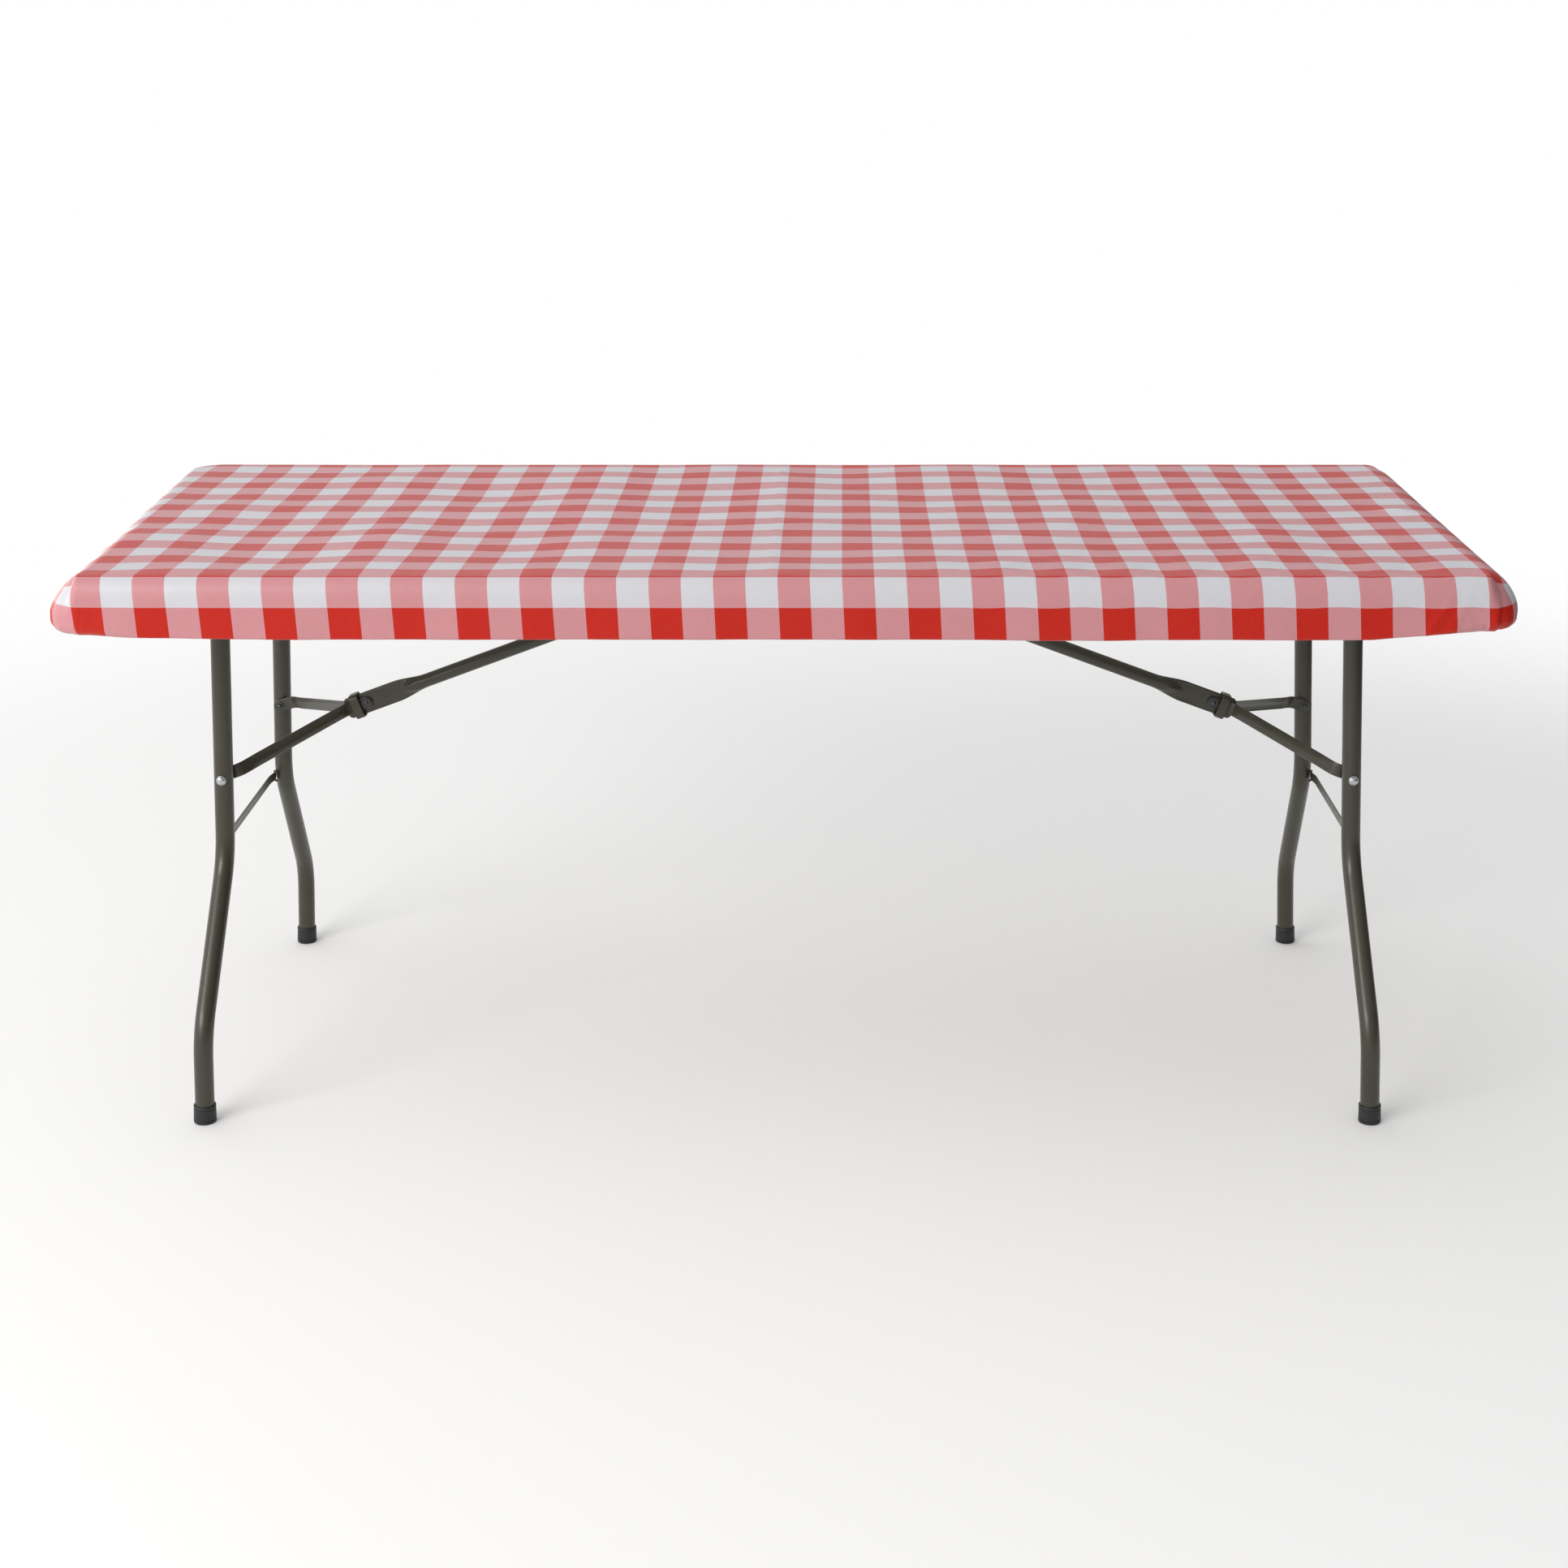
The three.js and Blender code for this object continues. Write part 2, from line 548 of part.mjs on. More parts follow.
// One ring round the brace. flatness 0 is the round tube and 1 the flattened end.
function braceRing(x, flatness) {
  const halfThickness = THREE.MathUtils.lerp(braceRadius, FLAT_THICKNESS / 2, flatness);
  const halfHeight = THREE.MathUtils.lerp(braceRadius, FLAT_HEIGHT / 2, flatness);
  const power = THREE.MathUtils.lerp(1, 0.3, flatness);
  return Array.from({ length: ROUND_SIDES }, (_, side) => {
    const turn = (2 * Math.PI * (side + 0.5)) / ROUND_SIDES;
    const bulge = (value) => Math.sign(value) * Math.abs(value) ** power;
    return new THREE.Vector3(x, halfThickness * bulge(Math.cos(turn)), halfHeight * bulge(Math.sin(turn)));
  });
}

function upperBraceTube() {
  const flatFrom = FLAT_LENGTH - upperBraceLength;
  const rings = [braceRing(-upperBraceLength - FLAT_TAIL, 1)];
  for (let step = 0; step <= FLAT_STEPS; step += 1) {
    const share = step / FLAT_STEPS;
    rings.push(braceRing(flatFrom + FLAT_TRANSITION * share, 1 - THREE.MathUtils.smoothstep(share, 0, 1)));
  }
  rings.push(braceRing(BRACE_TUBE_TAIL, 0));
  const pivotHole = cylinderAlongY(BRACE_PIN_DIAMETER / 2 + PIVOT_CLEARANCE, 2 * BRACE_TUBE_DIAMETER);
  const kneeHole = cylinderAlongY(RIVET_SHANK_DIAMETER / 2 + TOUCH_GAP, 2 * BRACE_TUBE_DIAMETER)
    .translate(-upperBraceLength, 0, 0);
  return cut(loft(rings), pivotHole, kneeHole);
}

// A headed pin through both arms and the flattened tube end, with its tail set over.
function kneeRivet() {
  const head = KNEE_HEAD_DIAMETER / 2;
  const shank = RIVET_SHANK_DIAMETER / 2;
  const seat = kneeArmOffset + ARM_THICKNESS / 2 + TOUCH_GAP;
  const face = seat + KNEE_HEAD_THICKNESS;
  const crown = seat + KNEE_CROWN;
  const profile = [
    [0, -crown], [shank, -crown], [shank, -face], [head, -face], [head, -seat],
    [shank, -seat], [shank, seat], [head, seat], [head, face], [shank, face], [shank, crown], [0, crown],
  ];
  return new THREE.LatheGeometry(profile.map(([x, y]) => new THREE.Vector2(x, y)), ROUND_SIDES)
    .translate(-upperBraceLength, 0, 0);
}

function lockRing() {
  const halfWidth = braceRadius + RING_CLEARANCE;
  const halfHeight = FLAT_HEIGHT / 2 + RING_CLEARANCE;
  const band = roundedRectangle(halfWidth + RING_WALL, halfHeight + RING_WALL, RING_CORNER + RING_WALL);
  band.holes.push(new THREE.Path(roundedRectangle(halfWidth, halfHeight, RING_CORNER).getPoints(4).reverse()));
  const middle = -upperBraceLength - RING_OFFSET;
  const ring = new THREE.ExtrudeGeometry(band, { depth: RING_LENGTH, bevelEnabled: false, curveSegments: 4 });
  return ring.rotateX(Math.PI / 2).rotateZ(Math.PI / 2).translate(middle - RING_LENGTH / 2, 0, 0);
}

// ---- Lower brace: in its own frame the knee is the origin and the leg rivet is at -X ----

// A strip bent in plan: a tab at the knee, a run out to the leg, and a tab beside the leg tube.
function braceArm(direction) {
  const kneeY = direction * kneeArmOffset;
  const legY = direction * legArmOffset;
  const endRadius = ARM_HEIGHT / 2;
  const corner = (x, y) => new THREE.Vector3(x, y, 0);
  const path = bentPath([
    corner(endRadius, kneeY),
    corner(-ARM_KNEE_TAB, kneeY),
    corner(ARM_LEG_TAB - armLength, legY),
    corner(-armLength - endRadius, legY),
  ], ARM_BEND_RADIUS);
  const total = path.getLength();
  const up = new THREE.Vector3(0, 0, 1);
  const ring = (along) => {
    const point = path.getPointAt(along / total);
    const side = new THREE.Vector3().crossVectors(up, path.getTangentAt(along / total));
    const fromEnd = Math.min(along, total - along, endRadius);
    const half = Math.max(Math.sqrt(endRadius ** 2 - (endRadius - fromEnd) ** 2), 1);
    return [[1, -1], [1, 1], [-1, 1], [-1, -1]].map(([across, height]) => (
      point.clone().addScaledVector(side, (across * ARM_THICKNESS) / 2).addScaledVector(up, height * half)
    ));
  };
  const stations = Array.from({ length: ARM_STEPS + 1 }, (_, step) => (total * step) / ARM_STEPS);
  const strip = loft(stations.map(ring));
  const holes = [[0, kneeY], [-armLength, legY]].map(([x, y]) => (
    cylinderAlongY(RIVET_SHANK_DIAMETER / 2 + PIVOT_CLEARANCE, 4 * ARM_THICKNESS).translate(x, y, 0)
  ));
  return cut(strip, ...holes);
}

// The inner head of the rivet at the leg. Its shank stops just short of the leg tube.
function armRivet(direction) {
  const shankLength = ARM_THICKNESS + TOUCH_GAP;
  return rivet(RIVET_HEAD_DIAMETER / 2, RIVET_HEAD_HEIGHT, RIVET_SHANK_DIAMETER / 2, shankLength)
    .rotateX(direction > 0 ? Math.PI : 0)
    .translate(-armLength, direction * (legArmOffset + ARM_THICKNESS / 2), 0);
}

// ---- Assembly ----

function tableTop() {
  const group = new THREE.Group();
  add(group, "tablecloth", tablecloth(), finishes.vinyl);
  add(group, "elastic_hem", elasticHem(), finishes.elastic);
  add(group, "tabletop_panel", tabletopPanel(), finishes.plastic);
  add(group, "centre_crossmember", centreCrossmember(), finishes.powderCoat);
  for (const [row, direction] of Object.entries(DIRECTIONS)) {
    add(group, `side_rail_${row}`, sideRail(direction), finishes.powderCoat);
  }
  for (const place of screwPlaces) add(group, place.name, deckScrew(place), finishes.zinc);
  return group;
}

// One end of the table: its leg frame, folding brace, lock ring and brackets.
function tableEnd(end) {
  const group = new THREE.Group();
  if (end === "right") group.rotation.z = Math.PI;
  const rowOf = (direction) => (direction * (end === "left" ? 1 : -1) < 0 ? "front" : "back");

  const leg = new THREE.Group();
  leg.position.copy(legPivot);
  const tubes = new THREE.Group();
  tubes.rotation.y = radians(LEG_SPLAY);
  leg.add(tubes);
  add(tubes, `${end}_leg_axle`, legAxle(), finishes.powderCoat);
  add(tubes, `${end}_leg_crossbar`, legCrossbar(), finishes.powderCoat);

  const upper = new THREE.Group();
  upper.position.copy(bracePivot);
  upper.rotation.y = -upperBraceSlope;
  add(upper, `${end}_upper_brace`, upperBraceTube(), finishes.powderCoat);
  add(upper, `${end}_knee_rivet`, kneeRivet(), finishes.zinc);
  add(upper, `${end}_lock_ring`, lockRing(), finishes.powderCoat);

  const lower = new THREE.Group();
  lower.position.copy(knee);
  lower.rotation.y = -armSlope;

  add(group, `${end}_brace_bracket`, braceBracket(), finishes.powderCoat);
  add(group, `${end}_brace_pin`, bracePin(), finishes.zinc);
  const straps = new THREE.Group();
  straps.position.copy(legPivot);

  for (const direction of [-1, 1]) {
    const row = rowOf(direction);
    add(tubes, `${end}_leg_tube_${row}`, legTube(direction), finishes.powderCoat);
    add(tubes, `${end}_leg_rivet_${row}`, legRivet(direction), finishes.zinc);
    add(leg, `${end}_foot_cap_${row}`, footCap(direction), finishes.rubber);
    add(lower, `${end}_brace_arm_${row}`, braceArm(direction), finishes.powderCoat);
    add(lower, `${end}_arm_rivet_${row}`, armRivet(direction), finishes.zinc);
    add(straps, `${end}_axle_strap_${row}`, axleStrap((direction * STRAP_SPACING) / 2), finishes.zinc);
  }
  group.add(leg, upper, lower, straps);
  return group;
}

const table = new THREE.Group();
table.add(tableTop(), tableEnd("left"), tableEnd("right"));

export default table;
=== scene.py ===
"""Looks for a fitted check tablecloth on a 6 ft folding table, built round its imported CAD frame.

Lengths are metres. +X runs along the table, +Y away from its front, +Z up, and the floor is z = 0.
"""
import json
import math

import bmesh
import bpy
import numpy as np
from bpy.props import FloatProperty, FloatVectorProperty, IntProperty, PointerProperty
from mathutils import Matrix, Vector


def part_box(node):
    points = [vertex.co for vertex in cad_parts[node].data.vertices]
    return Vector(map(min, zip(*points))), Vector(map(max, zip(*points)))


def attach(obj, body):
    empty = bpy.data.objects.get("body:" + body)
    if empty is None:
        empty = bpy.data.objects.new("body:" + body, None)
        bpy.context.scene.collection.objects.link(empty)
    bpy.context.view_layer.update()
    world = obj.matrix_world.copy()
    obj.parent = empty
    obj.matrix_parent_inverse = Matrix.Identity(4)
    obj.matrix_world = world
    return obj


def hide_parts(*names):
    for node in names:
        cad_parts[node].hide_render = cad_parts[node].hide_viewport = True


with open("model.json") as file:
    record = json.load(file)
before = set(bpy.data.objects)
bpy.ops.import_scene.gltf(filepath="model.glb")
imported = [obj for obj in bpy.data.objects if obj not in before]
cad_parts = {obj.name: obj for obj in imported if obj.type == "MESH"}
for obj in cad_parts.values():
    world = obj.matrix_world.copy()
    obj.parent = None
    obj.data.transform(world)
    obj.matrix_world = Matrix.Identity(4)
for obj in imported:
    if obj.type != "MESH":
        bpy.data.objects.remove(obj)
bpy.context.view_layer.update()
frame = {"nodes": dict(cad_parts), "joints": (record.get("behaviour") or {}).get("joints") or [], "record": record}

bl_info = {
    "name": "Fitted tablecloth and folding table",
    "version": (1, 0, 0),
    "blender": (4, 5, 0),
    "location": "3D View > Sidebar > Tablecloth",
    "description": "Builds a fitted check cloth, its table top and the folding legs round a CAD frame",
    "category": "Add Mesh",
}

JOINTS = {joint["name"]: joint for joint in frame["joints"]}
MOUNTS = {mount["name"]: mount for mount in frame["record"]["mounts"]}
ENDS = {"left": -1, "right": 1}
ROWS = {"front": -1, "back": 1}

TWILL_PITCH = 0.0034
WEAVE_PITCH = 0.0011
RIB_PITCH = 0.0024
STITCH_PITCH = 0.0013
BULGE_PITCH = 0.0792
LEVEL_ROWS = 25  # rows of the flat margin, the turned-down edge and the straight skirt together
WELD_STEPS = 34
BAR_ROUNDING = 0.004
FLOOR_GAP = 0.0002


def size(name, description, default, low=0.0001, high=4.0):
    """A length that a user may change."""
    return FloatProperty(
        name=name, description=description, default=default, min=low, max=high,
        unit="LENGTH", subtype="DISTANCE", precision=4,
    )


def share(name, description, default):
    """A share from 0 to 1."""
    return FloatProperty(name=name, description=description, default=default, min=0, max=1, subtype="FACTOR")


def colour(name, description, default):
    """A scene-linear colour."""
    return FloatVectorProperty(
        name=name, description=description, default=default, min=0, max=1, size=3, subtype="COLOR",
    )


class ClothSettings(bpy.types.PropertyGroup):
    """Sizes and colours of the fitted cloth."""

    check: size("Check", "Side of one check", 0.03959)
    column_start: size("Column start", "Where a red column starts, from the middle of the table", 0.0731)
    row_start: size("Row start", "Where a red row starts, from the middle of the table", -0.366, -1)
    corner: size("Corner radius", "Radius of the corners in plan", 0.050)
    edge: size("Edge radius", "Where the top turns down into the skirt along the table", 0.016)
    left_edge: size("Left edge radius", "Where the top turns down at the middle of the left end", 0.041)
    right_edge: size("Right edge radius", "Where the top turns down at the right end", 0.045)
    thickness: size("Thickness", "Vinyl and its flannel back together", 0.0011)
    dish: size("Dish", "How far the middle of the top lies below its edges", 0.0036)
    gather: size("Gathers", "Height of the gathers at the corners of the hem", 0.0024)
    seed: IntProperty(name="Seed", description="Another set of soft waves in the vinyl", default=7, min=0)
    red: colour("Red", "The solid checks", (0.560, 0.014, 0.004))
    pink: colour("Pink", "The half-tone checks", (0.590, 0.262, 0.282))
    white: colour("White", "The plain checks", (0.635, 0.630, 0.668))
    flannel: colour("Flannel", "The napped back of the vinyl", (0.72, 0.70, 0.66))
    elastic: colour("Elastic", "The band in the hem", (0.74, 0.72, 0.69))


class TopSettings(bpy.types.PropertyGroup):
    """Sizes and colour of the moulded table top."""

    tighter: size("Tighter edge", "How much smaller the upper edge's rounding is than the cloth's", 0.006)
    wall: size("Rim wall", "Thickness of the rim", 0.015)
    dimple: size("Dimple depth", "Depth of the moulded dimples under the deck", 0.004)
    dimple_pitch: size("Dimple pitch", "Distance from one dimple to the next", 0.045)
    plastic: colour("Plastic", "The moulded top", (0.66, 0.645, 0.60))


class SteelSettings(bpy.types.PropertyGroup):
    """Sizes and colours of the legs, braces and fasteners."""

    tube: size("Leg tube", "Outside diameter of the leg tubes", 0.0254)
    upper_bend: size("Upper bend", "Distance from the leg pivot to the outward bend", 0.393)
    lower_bend: size("Lower bend", "Distance from the leg pivot to the bend back", 0.594)
    bend_radius: size("Bend radius", "Radius of both bends, on the tube's middle line", 0.105)
    brace_tube: size("Brace tube", "Outside diameter of the upper brace", 0.019)
    arm_sheet: size("Arm sheet", "Thickness of the stamped brace arms", 0.0026)
    rib: size("Arm rib", "Height of the rib pressed along each arm", 0.0026)
    bevel: size("Sheet edge", "Rounding of the edges of the pressed sheet parts", 0.0006)
    coat: colour("Powder coat", "Legs, braces and rails", (0.036, 0.033, 0.022))
    zinc: colour("Zinc", "Rivets, pins, straps and screws", (0.62, 0.63, 0.65))
    rubber: colour("Rubber", "Foot caps", (0.012, 0.012, 0.013))


class StudioSettings(bpy.types.PropertyGroup):
    """The floor, the lights and the camera."""

    floor: colour("Floor", "The pale floor", (0.96, 0.96, 0.96))
    room: share("Room light", "Brightness of the room all round", 0.55)
    slant: share("Slant", "How much brighter the room is on the left than on the right", 0.50)
    eye: FloatVectorProperty(
        name="Eye", description="Where the camera stands", default=(0.0731, -3.2167, 1.4436), size=3,
        subtype="XYZ", unit="LENGTH",
    )
    tilt: FloatProperty(
        name="Tilt", description="How far the camera looks down", default=math.radians(16.79),
        subtype="ANGLE",
    )
    lens: FloatProperty(name="Lens", description="Focal length in mm on a 36 mm sensor", default=54.74)


# ---- Shader building ----


class Wire:
    """One output of a node. Arithmetic on it adds Math nodes."""

    def __init__(self, finish, socket):
        self.finish = finish
        self.socket = socket

    def math(self, operation, *others, clamp=False):
        values = dict(enumerate((self, *others)))
        return self.finish.node("ShaderNodeMath", {"operation": operation, "use_clamp": clamp}, values)

    def of(self, name):
        """Another output of the same node."""
        return Wire(self.finish, self.socket.node.outputs[name])

    def clamped(self):
        return self.math("ADD", 0, clamp=True)

    def __add__(self, other):
        return self.math("ADD", other)

    def __sub__(self, other):
        return self.math("SUBTRACT", other)

    def __mul__(self, other):
        return self.math("MULTIPLY", other)

    __radd__ = __add__
    __rmul__ = __mul__


class Finish:
    """A material under construction."""

    def __init__(self, name):
        self.material = bpy.data.materials.new(name)
        self.material.use_nodes = True
        self.tree = self.material.node_tree
        self.tree.nodes.clear()

    def node(self, kind, settings=None, inputs=None, output=0):
        """Adds a node: its settings are set first, then each input is given a value or a link."""
        made = self.tree.nodes.new(kind)
        for name, value in (settings or {}).items():
            setattr(made, name, value)
        for name, value in (inputs or {}).items():
            if isinstance(value, Wire):
                self.tree.links.new(value.socket, made.inputs[name])
            else:
                made.inputs[name].default_value = value
        return Wire(self, made.outputs[output]) if made.outputs else None

    def mix(self, factor, first, second):
        """A colour between two others."""
        def filled(value):
            return value if isinstance(value, Wire) else (*value, 1)
        inputs = {0: factor, 6: filled(first), 7: filled(second)}
        return self.node("ShaderNodeMix", {"data_type": "RGBA"}, inputs, output=2)

    def object_place(self):
        return self.node("ShaderNodeTexCoord").of("Object")

    def noise(self, place, scale, detail=3.0, roughness=0.5):
        inputs = {"Vector": place, "Scale": scale, "Detail": detail, "Roughness": roughness}
        return self.node("ShaderNodeTexNoise", None, inputs)

    def bump(self, height, distance, strength=1.0):
        inputs = {"Height": height, "Distance": distance, "Strength": strength}
        return self.node("ShaderNodeBump", None, inputs)

    def surface(self, **values):
        """The shader itself. Words joined by _ name its sockets."""
        inputs = {
            name.replace("_", " ").title().replace("Ior", "IOR"):
                (*value, 1) if isinstance(value, (tuple, list)) and len(value) == 3 else value
            for name, value in values.items()
        }
        shader = self.node("ShaderNodeBsdfPrincipled", None, inputs)
        self.node("ShaderNodeOutputMaterial", None, {"Surface": shader})
        return self.material


def finish_named(name, make, settings):
    """A material, made the first time it is asked for."""
    return bpy.data.materials.get(name) or make(Finish(name), settings)


def wave(place, pitch):
    """A sine of that pitch."""
    return (place * (2 * math.pi / pitch)).math("SINE")


def stripes(place, start, pitch, edge=0.0007):
    """1 on every second band of the given pitch and 0 between: a sine, steepened until it turns within
    edge."""
    steepness = pitch / (math.pi * edge)
    return (((place - start) * (math.pi / pitch)).math("SINE") * steepness + 0.5).clamped()


def check_vinyl(finish, cloth):
    """Printed checks that follow the flat cloth, fine twill lines in the half-tone, and a soft uneven
    gloss."""
    flat = finish.node("ShaderNodeUVMap", {"uv_map": "flat_cloth"})
    along = finish.node("ShaderNodeSeparateXYZ", None, {0: flat})
    across = along.of("Y")
    column = stripes(along, cloth.column_start, cloth.check)
    row = stripes(across, cloth.row_start, cloth.check)
    solid = column * row
    half = column + row - solid * 2
    twill = wave(along - across, TWILL_PITCH) * 0.5 + 0.5
    ink = finish.noise(flat, 240, 4, 0.7)
    worn = finish.noise(flat, 9, 3, 0.55)
    deep = tuple(c * s for c, s in zip(cloth.pink, (0.97, 0.80, 0.82)))
    pale = tuple(min(1, c * s) for c, s in zip(cloth.pink, (1.03, 1.16, 1.14)))
    pink = finish.mix((twill * 0.7 + ink * 0.3).clamped(), deep, pale)
    dark_red = tuple(c * 0.86 for c in cloth.red)
    red = finish.mix((ink * 0.8 + worn * 0.4 - 0.1).clamped(), dark_red, cloth.red)
    dull_white = tuple(c * 0.955 for c in cloth.white)
    white = finish.mix(ink * 0.5 + worn * 0.5, dull_white, cloth.white)
    printed = finish.mix(solid, finish.mix(half, white, pink), red)
    weave = wave(along, WEAVE_PITCH) * wave(across, WEAVE_PITCH)
    crumple = finish.noise(flat, 34, 4, 0.6)
    rise = weave * 0.03 + twill * 0.04 + crumple
    return finish.surface(
        base_color=printed,
        roughness=worn * 0.14 + ink * 0.10 + 0.25,
        specular_IOR_level=0.26,
        coat_weight=0.06,
        coat_roughness=0.22,
        normal=finish.bump(rise, 0.0016, 0.55),
    )


def flannel(finish, cloth):
    """A short cotton nap: fine fibres over soft tufts."""
    place = finish.object_place()
    tufts = finish.noise(place, 260, 5, 0.7)
    fibres = finish.noise(place, 1900, 3, 0.6)
    # The colour is darker where the tufts are low, in step with the bump: painted shade in the hollows of the nap.
    shade = finish.mix(tufts, tuple(c * 0.78 for c in cloth.flannel), cloth.flannel)
    return finish.surface(
        base_color=shade,
        roughness=0.95,
        sheen_weight=0.3,
        normal=finish.bump(tufts + fibres * 0.6, 0.0008, 0.8),
    )


def knitted_elastic(finish, cloth):
    """Ribs across the band, each a row of knitted stitches. The band's map runs along it in metres."""
    place = finish.node("ShaderNodeUVMap", {"uv_map": "along_band"})
    along = finish.node("ShaderNodeSeparateXYZ", None, {0: place})
    rib = wave(along, RIB_PITCH) * 0.5 + 0.5
    stitch = wave(along.of("Y"), STITCH_PITCH) * 0.5 + 0.5
    # The colour is darker in the hollows between the ribs and stitches, where the bump is low: painted shade in
    # the knit.
    shade = finish.mix(rib * 0.7 + stitch * 0.3, tuple(c * 0.62 for c in cloth.elastic), cloth.elastic)
    return finish.surface(
        base_color=shade, roughness=0.88, sheen_weight=0.2,
        normal=finish.bump(rib + stitch * 0.5, 0.0006, 0.7),
    )


def pebbled_plastic(finish, top):
    """Blow-moulded polyethylene: a pebbled skin, a little uneven in colour."""
    place = finish.object_place()
    pebble = finish.node("ShaderNodeTexVoronoi", {"feature": "SMOOTH_F1"}, {"Vector": place, "Scale": 420})
    cloud = finish.noise(place, 7, 4, 0.6)
    shade = finish.mix(cloud, tuple(c * 0.90 for c in top.plastic), top.plastic)
    return finish.surface(
        base_color=shade,
        roughness=cloud * 0.12 + 0.46,
        subsurface_weight=0.05,
        subsurface_scale=0.004,
        normal=finish.bump(pebble, 0.0006, 0.6),
    )


def powder_coat(finish, steel):
    """Dark bronze powder coat: orange peel, a faint mottle, paler dust on it and small rubbed spots."""
    place = finish.object_place()
    peel = finish.noise(place, 520, 3, 0.55)
    mottle = finish.noise(place, 14, 5, 0.62)
    speck = finish.noise(place, 1400, 2, 0.5)
    dust = ((mottle - 0.52) * 4).clamped()
    warm = tuple(c * s for c, s in zip(steel.coat, (1.16, 1.06, 0.86)))
    pale = tuple(min(1, c * s) for c, s in zip(steel.coat, (1.42, 1.50, 1.62)))
    shade = finish.mix(dust * 0.5, finish.mix(speck, warm, steel.coat), pale)
    return finish.surface(
        base_color=shade,
        metallic=0.12,
        roughness=mottle * 0.14 + peel * 0.08 + 0.24,
        coat_weight=0.25,
        coat_roughness=0.18,
        normal=finish.bump(peel + speck * 0.15, 0.0005, 0.45),
    )


def bright_zinc(finish, steel, brightness=1.0):
    """Zinc plate with fine drawing marks and a slight tarnish."""
    place = finish.object_place()
    grain = finish.noise(place, 900, 4, 0.7)
    tarnish = finish.noise(place, 60, 4, 0.6)
    clean = tuple(c * brightness for c in steel.zinc)
    shade = finish.mix(tarnish, tuple(c * 0.68 for c in clean), clean)
    return finish.surface(
        base_color=shade, metallic=1.0, roughness=tarnish * 0.2 + grain * 0.08 + 0.14,
        normal=finish.bump(grain, 0.0002, 0.5),
    )


def dulled_zinc(finish, steel):
    """The same plate gone dark with handling."""
    return bright_zinc(finish, steel, 0.16)


def matt_rubber(finish, steel):
    """Moulded rubber with a fine matt skin and grey scuffs."""
    place = finish.object_place()
    skin = finish.noise(place, 1100, 3, 0.6)
    scuff = ((finish.noise(place, 130, 5, 0.7) - 0.56) * 6).clamped()
    shade = finish.mix(scuff * 0.5, steel.rubber, tuple(c * 3.2 for c in steel.rubber))
    return finish.surface(
        base_color=shade, roughness=scuff * 0.2 + 0.5, normal=finish.bump(skin, 0.0004, 0.5),
    )


# ---- Shapes ----


def unit(vector):
    vector = np.asarray(vector, float)
    return vector / np.linalg.norm(vector, axis=-1, keepdims=True)


def smooth(value):
    """0 below 0, 1 above 1 and an S-curve between: 3 t^2 - 2 t^3."""
    t = np.clip(value, 0, 1)
    return t * t * (3 - 2 * t)


def middle(node):
    """The middle of a CAD node's box."""
    low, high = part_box(node)
    return (np.array(low) + np.array(high)) / 2


def quads(rows, columns, closed=True, looped=False):
    """Faces between neighbouring points of a grid. closed joins each row's ends, looped the last row to
    the first."""
    row, column = np.meshgrid(
        np.arange(rows if looped else rows - 1), np.arange(columns if closed else columns - 1), indexing="ij",
    )
    below = (row + 1) % rows
    beside = (column + 1) % columns
    here, under = row * columns, below * columns
    return np.stack([here + column, here + beside, under + beside, under + column], -1).reshape(-1, 4)


def skin(grid, closed=True, looped=False, flat=None, material=0):
    """One sheet of points with its faces, its map and its material number."""
    rows, columns = grid.shape[:2]
    faces = quads(rows, columns, closed, looped)
    mapped = np.zeros((rows * columns, 2)) if flat is None else flat.reshape(-1, 2)
    return {"points": grid.reshape(-1, 3), "faces": faces, "flat": mapped, "material": material}


def capped(grid):
    """A tube of points with both ends closed: a row at each end's own middle."""
    ends = [np.broadcast_to(grid[row].mean(0), grid[row].shape) for row in (0, -1)]
    return np.concatenate([ends[0][None], grid, ends[1][None]])


def sweep(path, section, up):
    """A section carried along a path. Each point is path + across * section[0] + lift * section[1], where
    across is up x the path's direction and lift is square to both."""
    heading = unit(np.gradient(path, axis=0))
    across = unit(np.cross(np.broadcast_to(up, heading.shape), heading))
    lift = np.cross(heading, across)
    section = np.broadcast_to(section, (len(path), *section.shape[-2:]))
    return path[:, None] + section[..., :1] * across[:, None] + section[..., 1:] * lift[:, None]


def turned(profile, origin, axis, sides=32):
    """A turned part. profile holds radius and distance along the axis."""
    axis = unit(axis)
    side = unit(np.cross(axis, [0.31, 0.17, 0.93]))
    other = np.cross(axis, side)
    angle = np.linspace(0, 2 * np.pi, sides, endpoint=False)[None, :, None]
    profile = np.asarray(profile, float)
    radius, along = profile[:, None, :1], profile[:, None, 1:]
    return np.asarray(origin) + radius * (np.cos(angle) * side + np.sin(angle) * other) + along * axis


def superellipse(half_width, half_height, corner, count=32):
    """A rounded rectangle: each coordinate is the half size times cos or sin to a power under 1."""
    angle = np.linspace(0, 2 * np.pi, count, endpoint=False) + np.pi / count
    c, s = np.cos(angle), np.sin(angle)
    sides = [half_width * np.sign(c) * abs(c) ** corner, half_height * np.sign(s) * abs(s) ** corner]
    return np.stack(sides, -1)


def straight(start, end, spacing):
    """Evenly spaced points from start towards end, without the end itself."""
    count = max(2, int(np.linalg.norm(end - start) / spacing))
    return start + np.linspace(0, 1, count, endpoint=False)[:, None] * (end - start)


